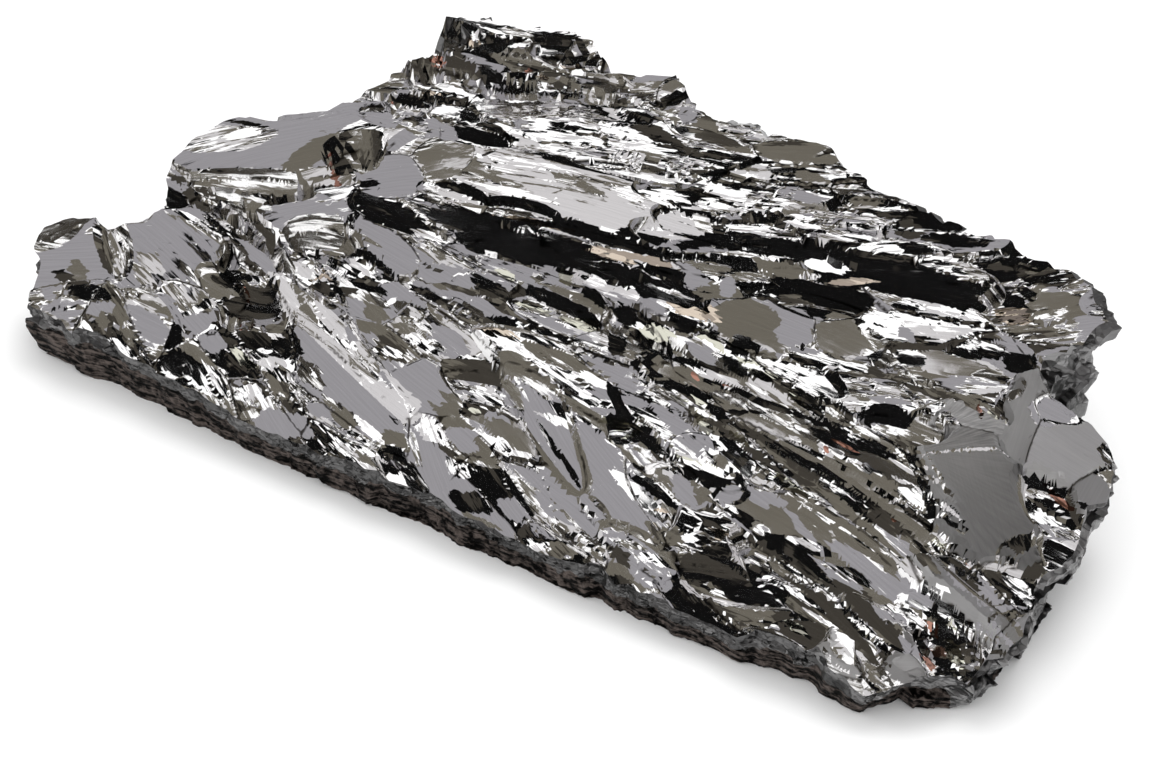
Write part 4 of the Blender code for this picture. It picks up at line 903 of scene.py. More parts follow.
# %% Vertices to their places
EDGE = 0.001             # share of the grid within which a vertex counts as on the rim
UNDERCUT_CURVE = 1.4     # the wall is drawn in slowly at first, and faster towards its foot
corner = np.array([vert.co[:] for vert in bm.verts])
level = np.array([vert[level_of] for vert in bm.verts])
u, v = corner[:, 0] + 0.5, corner[:, 1] + 0.5
foot = rim_patch(u, v, WORN_LINES)
place = foot + (level ** 2)[:, None] * (rim_patch(u, v, SHARP_LINES) - foot)
x, y = place[:, 0], place[:, 1]
inside = (np.minimum(u, v) > EDGE) & (np.maximum(u, v) < 1 - EDGE)
moved_x, moved_y, own, other, vertex_to_step = draw_to_steps(x, y, FINE_STEP)
x, y = np.where(inside, moved_x, x), np.where(inside, moved_y, y)
z = top_height(own, other, x, y, vertex_to_step) * level
out_x, out_y = x - x.mean(), y - y.mean()
radius = np.hypot(out_x, out_y) + 1e-9
below_rim, above_foot = level < 1 - EDGE, level > EDGE
stand_out = np.where(below_rim & above_foot, wall_ledge(x, y, z), 0)
rng = np.random.RandomState(SEED + 11)
stand_out += np.where(below_rim, rng.uniform(-FINE_CHIP, FINE_CHIP, len(x)), 0)
drawn_in = undercut(np.arctan2(out_y, out_x)) * (1 - level) ** UNDERCUT_CURVE * radius
x = x + out_x / radius * (stand_out - drawn_in)
y = y + out_y / radius * (stand_out - drawn_in)
print("shaped, mm:", round(np.ptp(x), 1), round(np.ptp(y), 1), round(np.ptp(z), 1))

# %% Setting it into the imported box
CLEARANCE = 0.02         # kept inside the box on every side
cloud = np.column_stack([x, y, z])
lowest, highest = cloud.min(axis=0), cloud.max(axis=0)
fit = (high - low - 2 * CLEARANCE) / (highest - lowest)
cloud = (cloud - lowest) * fit + low + CLEARANCE
for vert, spot in zip(bm.verts, cloud * MM):
    vert.co = spot
print("fit along, across, up:", np.round(fit, 4))

# %% [markdown]
# From blank to mesh
#
# The grid's squares become triangles, cut along their shorter diagonal. The places of the vertices are
# read back before the fit to the box, because the faces are placed in those measures.

# %% The mesh and its places
mesh = bpy.data.meshes.new("ore_surface")
bmesh.ops.triangulate(bm, faces=[face for face in bm.faces if len(face.verts) == 4],
                      quad_method="SHORT_EDGE")
bm.to_mesh(mesh)
bm.free()


def read(things, field, width=1, kind=float):
    """One value or vector of every vertex, corner, edge or face."""
    values = np.empty(len(things) * width, kind)
    things.foreach_get(field, values)
    return values.reshape(-1, width) if width > 1 else values


plan = (read(mesh.vertices, "co", 3) / MM - low - CLEARANCE) / fit + lowest
corner_vert = read(mesh.loops, "vertex_index", kind=int)
starts, totals = (read(mesh.polygons, field, kind=int) for field in ("loop_start", "loop_total"))
normals = read(mesh.polygons, "normal", 3)
centres = np.add.reduceat(plan[corner_vert], starts) / totals[:, None]
mean_level = np.add.reduceat(level[corner_vert], starts) / totals
on_wall = mean_level < ON_TOP
face_own = nearest_faces(centres[:, 0], centres[:, 1])[0]
print("mesh triangles:", int((totals - 2).sum()))

# %% [markdown]
# A map that follows the crystals
#
# Each small face of the mesh is told which crystal face it lies on. It gets a map in millimetres along and
# across that crystal, so the finish can run its splinters the right way. On a steep side the map climbs
# with the height, because seen from above the side has almost no width. Each crystal starts elsewhere in
# the pattern, so that no two are alike.

# %% Map along and across each crystal
STEEP = 0.72             # a normal that points up less than this is on a steep side
CLIMB, DRIFT = 1.2, 0.2  # how far the map moves there with the height, and with the place across
MAP_SPREAD = 400         # each crystal's part of the pattern starts within this many millimetres
loop_own = np.repeat(face_own, totals)
steep = np.repeat(normals[:, 2] < STEEP, totals)
a, b = face_axes(loop_own, plan[corner_vert, 0], plan[corner_vert, 1])
b = np.where(steep, CLIMB * plan[corner_vert, 2] + DRIFT * b, b)
a = np.where(np.repeat(on_wall, totals), (u * LENGTH + v * WIDTH)[corner_vert], a)
map_start = np.random.RandomState(SEED + 13).uniform(0, MAP_SPREAD, (len(faces), 2))
blade_map = mesh.uv_layers.new(name="blade")
blade_map.data.foreach_set("uv", (np.column_stack([a, b]) + map_start[loop_own]).ravel())
print("corners on the map:", len(loop_own))

# %% [markdown]
# The studio's strips of cloth
#
# A mirror shows the room, so the room matters more than the lamp. Strips of cloth hang over the table in a
# repeating order, from white through greys to black. On a flat map of the sky, as seen from above, they
# are parallel bands. A band's place is its share of one repeat. The main side, from which the slab is
# mostly looked at, settles how the bands are turned.

# %% Strips of cloth
AZIMUTH, ELEVATION = math.radians(36), math.radians(38)
DISTANCE = 0.455         # from the slab to someone who looks at it, in metres
AIM = Vector((3.2, -11.48, 10.0)) * MM
to_camera = Vector((math.sin(AZIMUTH) * math.cos(ELEVATION), -math.cos(AZIMUTH) * math.cos(ELEVATION),
                    math.sin(ELEVATION)))
right = Vector((math.cos(AZIMUTH), math.sin(AZIMUTH), 0))
away = Vector((-math.sin(AZIMUTH), math.cos(AZIMUTH), 0))
CLOTH_COLOUR = {
    "black": (0.004, 0.004, 0.004, 1), "dark": (0.058, 0.052, 0.043, 1),
    "olive": (0.175, 0.161, 0.132, 1), "lilac": (0.375, 0.367, 0.387, 1),
    "pale": (0.76, 0.745, 0.755, 1), "white": (1.5, 1.5, 1.5, 1),
}
REPEAT = 0.5             # width of one round of strips on the map of the sky
STRIPS = [("lilac", 0.0), ("white", 0.23), ("olive", 0.26), ("dark", 0.38), ("black", 0.48),
          ("white", 0.60), ("pale", 0.69), ("olive", 0.80), ("white", 0.88), ("dark", 0.90),
          ("black", 0.96)]
SLANT = 0.25             # how far the strips are turned from square to the main side
ends = [start for cloth, start in STRIPS[1:]] + [1.0]
across = np.array(away + right * SLANT)
print("strips in one repeat:", len(STRIPS))

# %% [markdown]
# Leaning each face towards its cloth
#
# The mean normal of a face and the direction to the main side give the place in the sky that it mirrors.
# The nearest strip of the right cloth gives the place it should mirror, and halfway between that and the
# main side is the normal it needs. The nearest strip means the smallest lean. A strip below the horizon is
# taken only if there is no other.

# %% A normal that mirrors the right cloth
HORIZON = 0.96           # a strip is looked for inside this part of the sky map, whose rim is at 1
BEHIND_HORIZON = 9       # extra distance that keeps the strips outside it for last
WIDE_ENOUGH = 0.05       # narrower strips are only for sparkle
ROUNDS = range(-3, 4)    # rounds of strips that are looked at, to either side


def unit(vectors):
    """Vectors scaled to length one."""
    return vectors / np.linalg.norm(vectors, axis=-1, keepdims=True)


def lean_to(cloth, normal, middle):
    """The normal nearest to the given one that mirrors a strip of the given cloth to the main side."""
    view = unit(eye - middle)
    mirrored = 2 * (normal @ view) * normal - view
    here = (mirrored / (1 + abs(mirrored[2])))[:2]
    repeat = across[:2] / (across @ across) * REPEAT
    places = [here + repeat * (count + (start + end) / 2 - here @ across[:2] / REPEAT)
              for (kind, start), end in zip(STRIPS, ends) if kind == cloth and end - start > WIDE_ENOUGH
              for count in ROUNDS]
    flat = min(places, key=lambda place: (
        math.hypot(*(place - here)) + BEHIND_HORIZON * (math.hypot(*place) > HORIZON)))
    stretch = 1 + flat @ flat
    return unit(np.array([2 * flat[0] / stretch, 2 * flat[1] / stretch, 2 / stretch - 1]) + view)


eye = np.array((AIM + to_camera * DISTANCE) / MM)
level_face = np.array([0.0, 0.0, 1.0])
print("a level face leans for lilac to", np.round(lean_to("lilac", level_face, np.zeros(3)), 2))

# %% [markdown]
# The faces, leaned
#
# The small triangles of one crystal face share one aim. Those on the slope of a step aren't counted in its
# mean normal, unless it has no others.

# %% Aim of every face
_, other_side, to_step, back_x, back_y = nearest_step(centres[:, 0], centres[:, 1])
rise, run = step_run(face_own, other_side, centres[:, 0], centres[:, 1])
on_step = (to_step < run) & ~on_wall
aims, means = np.zeros((len(faces), 3)), np.zeros((len(faces), 3))
for index, cloth in enumerate(cloth_of):
    mine = (face_own == index) & ~on_wall
    mine = mine & ~on_step if (mine & ~on_step).any() else mine
    if mine.any():
        means[index] = unit(normals[mine].mean(axis=0))
        aims[index] = lean_to(cloth, means[index], centres[mine].mean(axis=0))
turned = np.degrees(np.arccos(np.clip((aims * means).sum(axis=1), -1, 1)))
print("leaned by, degrees:", round(float(np.median(turned)), 1), "at most", round(float(turned.max()), 1))

# %% [markdown]
# How much of its own unevenness a face keeps
#
# A whole face keeps little of the bumps of the mesh and so mirrors one thing, and a broken one keeps all
# of them. What is stored on each triangle is this share, and an aim that is added to it. The walls are
# left as they are.

# %% Own share and aim of every triangle
LEAST_KEPT, KEPT_BY_BREAKS = 0.03, 1.2
SHALLOW = math.cos(math.radians(25))    # a triangle that leans more than this from its face keeps nothing


def own_share(breaks):
    """Share of its own unevenness that a face keeps, from how broken it is."""
    return np.clip(LEAST_KEPT + KEPT_BY_BREAKS * breaks, 0, 1)


near_plane = (normals * means[face_own]).sum(axis=1) > SHALLOW
kept = np.where(near_plane, own_share(held_of)[face_own], 0.0)
aim = aims[face_own] - kept[:, None] * means[face_own]
aim = np.where(on_wall[:, None], 0.0, aim)
kept = np.where(on_wall, 1.0, kept)
broken = held_of[face_own]
print("mean own share on the top:", round(float(kept[~on_wall].mean()), 2))

# %% [markdown]
# Clean steps
#
# The slope of a step follows from its rise and its run, so its normal is worked out from them and not read
# off the small triangles. A step then mirrors one thing along its whole length. A step beside a black or
# dark face is as dark as that face, the others draw their cloth, and those that can be picked out on the
# specimen have it given one by one.

# %% Normals of the steps
LEVEL_OFF = 0.3          # a face's slope is read as if its normal pointed up at least this much
slopes = -means[:, :2] / np.maximum(means[:, 2:], LEVEL_OFF)
mine = (0.5 + 0.5 * to_step / run)[:, None]
slope = mine * slopes[face_own] + (1 - mine) * slopes[other_side]
slope = slope + (0.5 * rise / run)[:, None] * np.column_stack([back_x, back_y])
step_normal = unit(np.column_stack([-slope, np.ones(len(slope))]))
print("share of the top on a step:", round(float(on_step.mean()), 2))

# %% Cloth of the steps
LEAST_RISE = 0.18        # lower steps aren't drawn, in millimetres
STEP_SWAY = 0.03         # how far a step follows its own bends
BESIDE = 2 * FINE_STEP   # triangles this far from a step can still show its torn edge
STEP_CLOTHS = ("black", "dark", "olive", "white", "black", "lilac")
NAMES = list(FACES)
STEP_FINISH = {NAMES.index(name): cloth for name, cloth in (
    ("white prism", "pale"), ("shoulder ledge", "dark"), ("hooked rim", "black"), ("long riser", "black"),
    ("furrow bank", "black"), ("furrow bed", "dark"), ("furrow strip", "black"),
    ("furrow speckle", "black"), ("pale strip", "black"), ("crest top", "black"), ("saddle", "dark"),
    ("fifth long pane", "olive"), ("end hollow", "black"), ("crest brow", "dark"), ("crest foot", "black"),
    ("fan face", "olive"), ("end face", "olive"))}
beside = ~on_wall & (to_step < run + BESIDE) & (np.abs(rise) > LEAST_RISE)
first_side, second_side = np.minimum(face_own, other_side), np.maximum(face_own, other_side)
pair = np.where(beside, first_side * len(faces) + second_side, -1)
step_aim = step_normal.copy()
order = np.argsort(pair, kind="stable")
pair_ends = np.flatnonzero(np.diff(pair[order])) + 1
for group in np.split(order, pair_ends):
    member = group[0]
    if pair[member] < 0:
        continue
    sides = face_own[member], other_side[member]
    mean = unit(step_normal[group].mean(axis=0))
    darkest = min(CLOTHS.index(cloth_of[side]) for side in sides)
    drawn = STEP_CLOTHS[int(hashed(pair[member] % 97, pair[member] % 89, 0, 3) * len(STEP_CLOTHS))]
    cloth = CLOTHS[darkest] if CLOTHS[darkest] in ("black", "dark") else drawn
    for side in sides:
        cloth = STEP_FINISH.get(side, cloth)
    target = lean_to(cloth, mean, centres[group].mean(axis=0))
    step_aim[group] = target + STEP_SWAY * (step_normal[group] - mean)
print("steps with a cloth:", len(pair_ends))

# %% [markdown]
# Laying the patches
#
# Each patch is leaned to its cloth as a face is. Its edge is torn in the finish, so every triangle beside
# it needs both what lies over and what lies under. The cover, from above 0 inside to below 0 outside, is
# stored at the corners and says which of them is seen.

# %% Outline of a patch
def shard_reach(patch, x, y):
    """Distance from a patch's middle, 1 at its edge: a sheared ellipse with pointed ends."""
    px, py, length, width, heading = patch
    a, b = own_axes((px, py), heading, x, y)
    a = a + b * ASKEW * (2 * hashed(round(px * 7), round(py * 7), 0, 4) - 1)
    return (np.abs(2 * a / length) ** POINTED + np.abs(2 * b / width) ** POINTED) ** (1 / POINTED)


first_patch = patches[0][:5]
print("reach at the middle of the largest patch:", float(shard_reach(first_patch, *first_patch[:2])))

# %% Patches over and under
TORN = 0.45              # how far the edge of a patch wanders, in millimetres
FINEST = 1.7             # least cover in the middle of a narrow patch
FRINGE = -1.2            # triangles with a cover down to this can still show the torn edge
over = {"aim": aim, "kept": kept, "broken": broken}
under = {name: values.copy() for name, values in over.items()}
tint = np.ones((len(centres), 4))
cover = np.full(len(mesh.loops), NEVER)
cover_middle = np.full(len(centres), NEVER)
for *outline, kind, share in patches:
    px, py, length, width, heading = outline
    cloth, colour = PATCH_TINT.get(kind, (kind, (1, 1, 1, 1)))
    span = max(length, width)
    crisp = max(width / 2 / TORN, FINEST)
    near = np.flatnonzero((np.abs(centres[:, :2] - (px, py)) < span).all(axis=1) & ~on_wall)
    inside = (1 - shard_reach(outline, centres[near, 0], centres[near, 1])) * crisp
    near, inside = near[inside > FRINGE], inside[inside > FRINGE]
    within = near[inside > 0]
    if not len(within):
        continue
    mean = unit(normals[within].mean(axis=0))
    target = lean_to(cloth, mean, centres[within].mean(axis=0))
    follow = np.where(normals[near] @ mean > SHALLOW, own_share(share), 0)
    covered = near[cover_middle[near] > 0]
    for name, values in (("aim", target - follow[:, None] * mean), ("kept", follow), ("broken", share)):
        under[name][covered] = over[name][covered]
        over[name][near] = values
    tint[near] = colour
    cover_middle[near] = inside
    corners = (starts[near][:, None] + np.arange(3)).ravel()
    spots = plan[corner_vert[corners]]
    cover[corners] = (1 - shard_reach(outline, spots[:, 0], spots[:, 1])) * crisp
print("share of the top under a patch:", round(float((cover_middle > 0)[~on_wall].mean()), 2))

# %% [markdown]
# Steps over patches, and patches over steps
#
# A patch lies over the low steps that cross it. A higher step beside a named face stays on top, except in
# the furrow, the crest and the pits, where patches were picked out on the steps themselves.

# %% Cover of the steps
NAMED_RISE = 0.45        # a step of a named face, if higher than this, isn't hidden by a patch
PATCHED = ("furrow tip", "furrow bank", "furrow strip", "furrow bed", "furrow speckle", "olive slab",
           "olive trough", "crest top", "crest brow", "crest foot", "copper pit", "end hollow")
SMALL_FACES = len(faces) - len(NAMES)
open_face = np.array([name in PATCHED for name in NAMES] + [False] * SMALL_FACES)
named_step = (first_side < len(NAMES)) & (np.abs(rise) > NAMED_RISE)
named_step &= ~(open_face[face_own] | open_face[other_side])
plain = np.repeat(beside & (named_step | (cover_middle < 0)), totals)
step_cover = np.where(plain, np.repeat(run, totals) - vertex_to_step[corner_vert], NEVER)
print("share of the top beside a drawn step:", round(float(beside[~on_wall].mean()), 2))

# %% [markdown]
# Satin and grey
#
# The satin faces show greys that are painted light and shade, and the walls a grey of their own; it goes
# where the tints of the patches go elsewhere. Two stretches of the wall are darker: the one below the left
# end of the crest, which is painted shade, and the front.

# %% Satin faces and walls
LEAST_GREY = 0.001
# painted shade: the first stretch, below the left end of the crest, is darkened as shade
DARK_WALLS = ((-44, 36, 36, 22, 20), (-5, -24, 150, 12, 2))    # x, y, length, width, heading
DARK_WALL_LIGHT = 0.6    # share of the light that they give back; below the crest this is painted shade
# painted light and shade: the satin faces' greys go into the tint
grey = np.array([SATIN.get(name, 0.0) for name in NAMES] + [0.0] * SMALL_FACES)
satin = np.where(on_wall, 1.0, (grey[face_own] > 0) & (cover_middle < 0))
to_dark_wall = np.min([reach(spot, centres[:, 0], centres[:, 1]) for spot in DARK_WALLS], axis=0)
wall_light = np.where(to_dark_wall < 1, DARK_WALL_LIGHT, 1)
shade = np.where(on_wall, wall_light, np.maximum(grey[face_own], LEAST_GREY))
tint[satin > 0, :3] = shade[satin > 0, None]
print("share of the surface that is satin:", round(float(satin.mean()), 2))

# %% [markdown]
# Where the crust is
#
# The crust covers the lower part of the front wall, a little higher at the left than at the right, and
# turns round the left corner. The flat underside is all crust.

# %% Crust
CRUST_TOP_LEFT, CRUST_TOP_RIGHT = 0.74, 0.50    # how far up the front wall the crust goes
CRUST_EDGE = 5           # how sharply it ends there
AT_RIM = 0.004           # share of the grid that counts as the front or the left rim
LEFT_TURN = 0.25         # share of the left wall that has crust
UNDERSIDE = 0.04
in_front = (v < AT_RIM) & (level < ON_TOP)
on_left = (u < AT_RIM) & (v < LEFT_TURN) & (level < ON_TOP)
crust_top = CRUST_TOP_LEFT + (CRUST_TOP_RIGHT - CRUST_TOP_LEFT) * u
crust = np.where(in_front | on_left, (crust_top - level) * CRUST_EDGE, NEVER)
crust = np.where(level < UNDERSIDE, -NEVER, crust)
print("vertices with crust:", int((crust > 0).sum()))

# %% [markdown]
# The fan of the end face
#
# Fine striae spread over the blunt end from one point near its lower corner. They are drawn by the angle
# round that point and the distance from it.

# %% Angle and distance from the foot of the fan
FAN_FOOT = (42.6, 7.4)   # where the striae spread from
spots = plan[corner_vert, :2] - FAN_FOOT
fan_face = np.isin(face_own, [NAMES.index(name) for name in ("end face", "fan face")])
angle, distance = np.arctan2(spots[:, 1], spots[:, 0]), np.hypot(*spots.T)
fan = np.column_stack([angle, distance, np.repeat(fan_face, totals)])
print("triangles in the fan:", int(fan_face.sum()))

# %% [markdown]
# Values for the finish
#
# All that was worked out is stored on the mesh by name, on its faces, corners or vertices. The finish
# reads it back with Attribute nodes, so it stays with the surface wherever the piece is moved.

# %% Attributes
NO_SEAM = 9.0            # a distance so long that no dark seam is drawn
seam = np.where(level > ON_TOP, vertex_to_step, NO_SEAM)
VALUES = (
    ("broken", "FACE", over["broken"]), ("kept", "FACE", over["kept"]), ("aim", "FACE", over["aim"]),
    ("under_broken", "FACE", under["broken"]), ("under_kept", "FACE", under["kept"]),
    ("under_aim", "FACE", under["aim"]), ("cover", "CORNER", cover), ("step_cover", "CORNER", step_cover),
    ("step_aim", "FACE", step_aim), ("satin", "FACE", satin), ("wall", "FACE", on_wall),
    ("fan", "CORNER", fan), ("crust", "POINT", crust), ("seam", "POINT", seam), ("tint", "FACE", tint))
KINDS = {1: ("FLOAT", "value"), 3: ("FLOAT_VECTOR", "vector"), 4: ("FLOAT_COLOR", "color")}
for name, domain, values in VALUES:
    data_type, field = KINDS[values.shape[1] if values.ndim > 1 else 1]
    layer = mesh.attributes.new(name, data_type, domain)
    layer.data.foreach_set(field, values.astype(np.float32).ravel())
print("values stored:", len(VALUES))

# %% [markdown]
# Edges
#
# A crystal face is flat and meets the next at a clean edge, so the shading is smooth only across very
# shallow angles. Anything steeper stays a crease.

# %% Creases
CREASE = math.radians(9)
mesh.shade_smooth()
mesh.set_sharp_from_angle(angle=CREASE)
specimen = bpy.data.objects.new("ore_surface", mesh)
bpy.context.scene.collection.objects.link(specimen)
sharp = read(mesh.attributes["sharp_edge"].data, "value", kind=bool)
print("creased edges:", int(sharp.sum()), "of", len(mesh.edges))

# %% [markdown]
# The finish
#
# Bright ore reflects like a mirror, and what makes it look like ore is that its surface points a thousand
# ways. Below the size of the mesh, splinters are tilts of the shading normal. The helpers add one node
# each. A socket knows the tree it belongs to, so the sums can be written almost as on paper.

# %% Helpers for nodes
HALF = (0.5, 0.5, 0.5)   # middle of a random colour, so that a lean is as often to one side as to the other


def new_material(name):
    """A material, its node tree and its shader."""
    material = bpy.data.materials.new(name)
    material.use_nodes = True
    return material, material.node_tree, material.node_tree.nodes["Principled BSDF"]


def feed(socket, value):
    """Puts a value or another node's output into a socket."""
    if isinstance(value, bpy.types.NodeSocket):
        socket.id_data.links.new(value, socket)
    else:
        socket.default_value = value


def new_node(kind, *values):
    """A node of a kind, in the tree that the first of its linked values is in."""
    tree = next(value.id_data for value in values if isinstance(value, bpy.types.NodeSocket))
    return tree.nodes.new("ShaderNode" + kind)


def calc(operation, *values):
    """One step of arithmetic."""
    node = new_node("Math", *values)
    node.operation = operation
    for socket, value in zip(node.inputs, values):
        feed(socket, value)
    return node.outputs[0]


def plus(first, second):
    """Sum of two numbers."""
    return calc("ADD", first, second)


def times(first, second):
    """Product of two numbers."""
    return calc("MULTIPLY", first, second)


def between(low_end, high_end, share):
    """A number that goes from one end to the other as the share goes from 0 to 1."""
    return plus(low_end, times(high_end - low_end, share))


def vector_calc(operation, *values, scale=None):
    """One step of vector arithmetic."""
    node = new_node("VectorMath", *values, scale)
    node.operation = operation
    for socket, value in zip(node.inputs, values):
        feed(socket, value)
    if scale is not None:
        feed(node.inputs["Scale"], scale)
    return node.outputs["Vector"]


def scaled(vector, scale):
    """A vector made longer or shorter."""
    return vector_calc("SCALE", vector, scale=scale)


def centred(colour):
    """A random colour as a lean that goes to all sides."""
    return vector_calc("SUBTRACT", colour, HALF)


print("middle of a random colour:", HALF)


# %% Helpers for patterns
def noise(vector, scale, detail=2.0, output="Fac"):
    """Noise on a given vector."""
    node = new_node("TexNoise", vector)
    feed(node.inputs["Vector"], vector)
    feed(node.inputs["Scale"], scale)
    feed(node.inputs["Detail"], detail)
    return node.outputs[output]


def cells(vector, scale, feature="F1"):
    """A Voronoi texture: lumps with straight sides."""
    node = new_node("TexVoronoi", vector)
    node.feature = feature
    feed(node.inputs["Scale"], scale)
    feed(node.inputs["Vector"], vector)
    return node


def blend(kind, share, first, second):
    """First value where the share is 0, second where it is 1."""
    node = new_node("Mix", share, first, second)
    node.data_type = kind
    sockets = [socket for socket in node.inputs if socket.enabled]
    for socket, value in zip(sockets, (share, first, second)):
        feed(socket, value)
    return next(socket for socket in node.outputs if socket.enabled)


def ramp(value, low_end, high_end):
    """Maps a range of values onto 0 to 1, held at both ends."""
    node = new_node("MapRange", value)
    for name, end in (("Value", value), ("From Min", low_end), ("From Max", high_end)):
        feed(node.inputs[name], end)
    return node.outputs["Result"]


def leaning_cells(blade, length, width, ragged):
    """A random lean for each splinter of a given length and width in millimetres."""
    stretched = vector_calc("MULTIPLY", blade, (1 / length, 1 / width, 0))
    torn = scaled(centred(noise(stretched, 2.2, 5.0, "Color")), ragged)
    pattern = new_node("TexVoronoi", torn)
    pattern.voronoi_dimensions = "2D"
    feed(pattern.inputs["Scale"], 1.0)
    feed(pattern.inputs["Vector"], vector_calc("ADD", stretched, torn))
    return centred(pattern.outputs["Color"])


print("the torn outline of a splinter is noise added to its place")

# %% [markdown]
# What is seen: a face, a patch or a step
#
# The cover stored at the corners is above 0 where a patch lies over. Noise that is long along the crystal
# is added to it before the test, which tears the edge. A step is tested after the patches, with a much
# smaller tear.

# %% Torn edges
ore, tree, shader = new_material("bright_ore")
map_node = tree.nodes.new("ShaderNodeUVMap")
map_node.uv_map = "blade"
blade = map_node.outputs["UV"]
position = tree.nodes.new("ShaderNodeTexCoord").outputs["Object"]


def stored(name, output="Fac"):
    """A value stored on the mesh."""
    node = tree.nodes.new("ShaderNodeAttribute")
    node.attribute_name = name
    return node.outputs[output]


TEAR = (0.22, 1.7, 0)    # how often the noise changes along and across the crystal
WANDER = 4.5             # how far it moves the edge of a patch, in units of its cover
STEP_WANDER = 0.08       # share of that for the edge of a step
STEP_BROKEN = 0.15       # a step is hardly broken
wander = times(WANDER, plus(noise(vector_calc("MULTIPLY", blade, TEAR), 1.0, 6.0), -0.5))
on_patch = calc("GREATER_THAN", plus(stored("cover"), wander), 0.0)
broken = blend("FLOAT", on_patch, stored("under_broken"), stored("broken"))
kept = blend("FLOAT", on_patch, stored("under_kept"), stored("kept"))
aim = blend("VECTOR", on_patch, stored("under_aim", "Vector"), stored("aim", "Vector"))
step_seen = calc("GREATER_THAN", plus(stored("step_cover"), times(STEP_WANDER, wander)), 0.0)
broken = blend("FLOAT", step_seen, broken, STEP_BROKEN)
kept = blend("FLOAT", step_seen, kept, 0.0)
aim = blend("VECTOR", step_seen, aim, stored("step_aim", "Vector"))
satin = stored("satin")
on_wall = stored("wall")
print("nodes so far:", len(tree.nodes))

# %% [markdown]
# Leaning splinters
#
# Each cell of a stretched Voronoi pattern leans its own way, at four sizes from a long shard down to a
# hair. Where a face is whole they almost vanish. Some parts of the slab are more splintered than others,
# and here and there a nest of splinters sits even on a whole face. Long streaks and gashes run through
# them, and a slow sway bends the reflections a little.

# %% Splinters, streaks and sway
SPLINTERS = ((13.0, 1.9, 0.9, 0.22), (5.5, 0.7, 1.0, 0.12),    # length, width, raggedness, lean
             (6.0, 0.22, 0.8, 0.06), (1.4, 0.25, 1.0, 0.03))
GROUPS, NESTS, SWAYS = (130.0, 1.0), (75.0, 2.0), (90.0, 1.0)    # lumps of noise in a metre, and detail
GROUP_ENDS, NEST_ENDS = (0.40, 0.62), (0.62, 0.66)    # values of the noise where they begin and are full
LEAST_GROUPED, NEST_SHARE = 0.45, 0.35
STREAKED = (0.10, 1.1, 0)       # how often the streaks change along and across the crystal
STREAKS, GASHES = 0.58, 0.40    # the noise is above this on a streak and below this in a gash
STREAK_LEAN, GASH_LEAN = (0.07, 0.09, 0.0), (-0.05, 0.08, 0.0)
SWAY = 0.04
grouped = plus(LEAST_GROUPED, ramp(noise(position, *GROUPS), *GROUP_ENDS))
nests = times(NEST_SHARE, ramp(noise(position, *NESTS), *NEST_ENDS))
share = calc("MAXIMUM", times(broken, grouped), nests)
streaked = noise(vector_calc("MULTIPLY", blade, STREAKED), 1.0, 3.0)
leans = [scaled(leaning_cells(blade, *size), lean) for *size, lean in SPLINTERS]
leans.append(scaled(STREAK_LEAN, calc("GREATER_THAN", streaked, STREAKS)))
leans.append(scaled(GASH_LEAN, calc("LESS_THAN", streaked, GASHES)))
lean = leans[0]
for another in leans[1:]:
    lean = vector_calc("ADD", lean, another)
sway = centred(noise(position, *SWAYS, "Color"))
tilt = vector_calc("ADD", scaled(lean, share), scaled(sway, SWAY))
print("sizes of splinter:", len(SPLINTERS))

# %% [markdown]
# Striae of the fan
#
# Noise on the angle round the foot of the fan, hardly changing outwards, gives fine rays. They lean the
# normal and later streak the grey. Above a certain angle they are strong, below it faint.

# %% Rays
RAYS = (30.0, 0.30, 0)   # how often the rays change round the foot, and outwards
RAY_LEAN = (0.35, 0.35, 0.0)
FAINT = 0.22             # share of the rays that is left in the lower part
UPPER_PART = (0.68, 0.74)       # the angles, in radians, between which they grow to their full strength
fan = stored("fan", "Vector")
fan_parts = new_node("SeparateXYZ", fan)
feed(fan_parts.inputs[0], fan)
turn, outward, in_fan = fan_parts.outputs
rays = plus(noise(vector_calc("MULTIPLY", fan, RAYS), 1.0, 4.0), -0.5)
rays = times(rays, times(between(FAINT, 1.0, ramp(turn, *UPPER_PART)), in_fan))
tilt = vector_calc("ADD", tilt, scaled(RAY_LEAN, rays))
print("nodes so far:", len(tree.nodes))

# %% [markdown]
# Broken walls
#
# The sides have no crystal faces, only a knobbly fracture. Its lumps lean any way at two sizes, which
# makes them glint. With this the normal is complete: what a place keeps of its own, its aim and its tilt.

# %% Knobbly fracture, and the whole normal
LUMPS, FINE_LUMPS = 250.0, 640.0    # lumps in a metre, large and fine
LUMP_LEAN, FINE_LEAN = 1.1, 0.6
SQUASHED = (1.0, 1.0, 1.5)          # the lumps are flatter than they are wide,
CROOKED = 0.004          # and noise moves their edges by up to this, in metres
knobbly = vector_calc("ADD", vector_calc("MULTIPLY", position, SQUASHED),
                      scaled(noise(position, 300.0, 3.0, "Color"), CROOKED))
lumps = cells(knobbly, LUMPS).outputs["Color"]
for lump, lean in ((lumps, LUMP_LEAN), (cells(knobbly, FINE_LUMPS).outputs["Color"], FINE_LEAN)):
    tilt = vector_calc("ADD", tilt, scaled(centred(lump), times(lean, on_wall)))
own_normal = scaled(tree.nodes.new("ShaderNodeNewGeometry").outputs["Normal"], kept)
ore_normal = vector_calc("NORMALIZE", vector_calc("ADD", vector_calc("ADD", own_normal, aim), tilt))
print("lumps across, mm:", round(1 / LUMPS / MM, 1), round(1 / FINE_LUMPS / MM, 1))
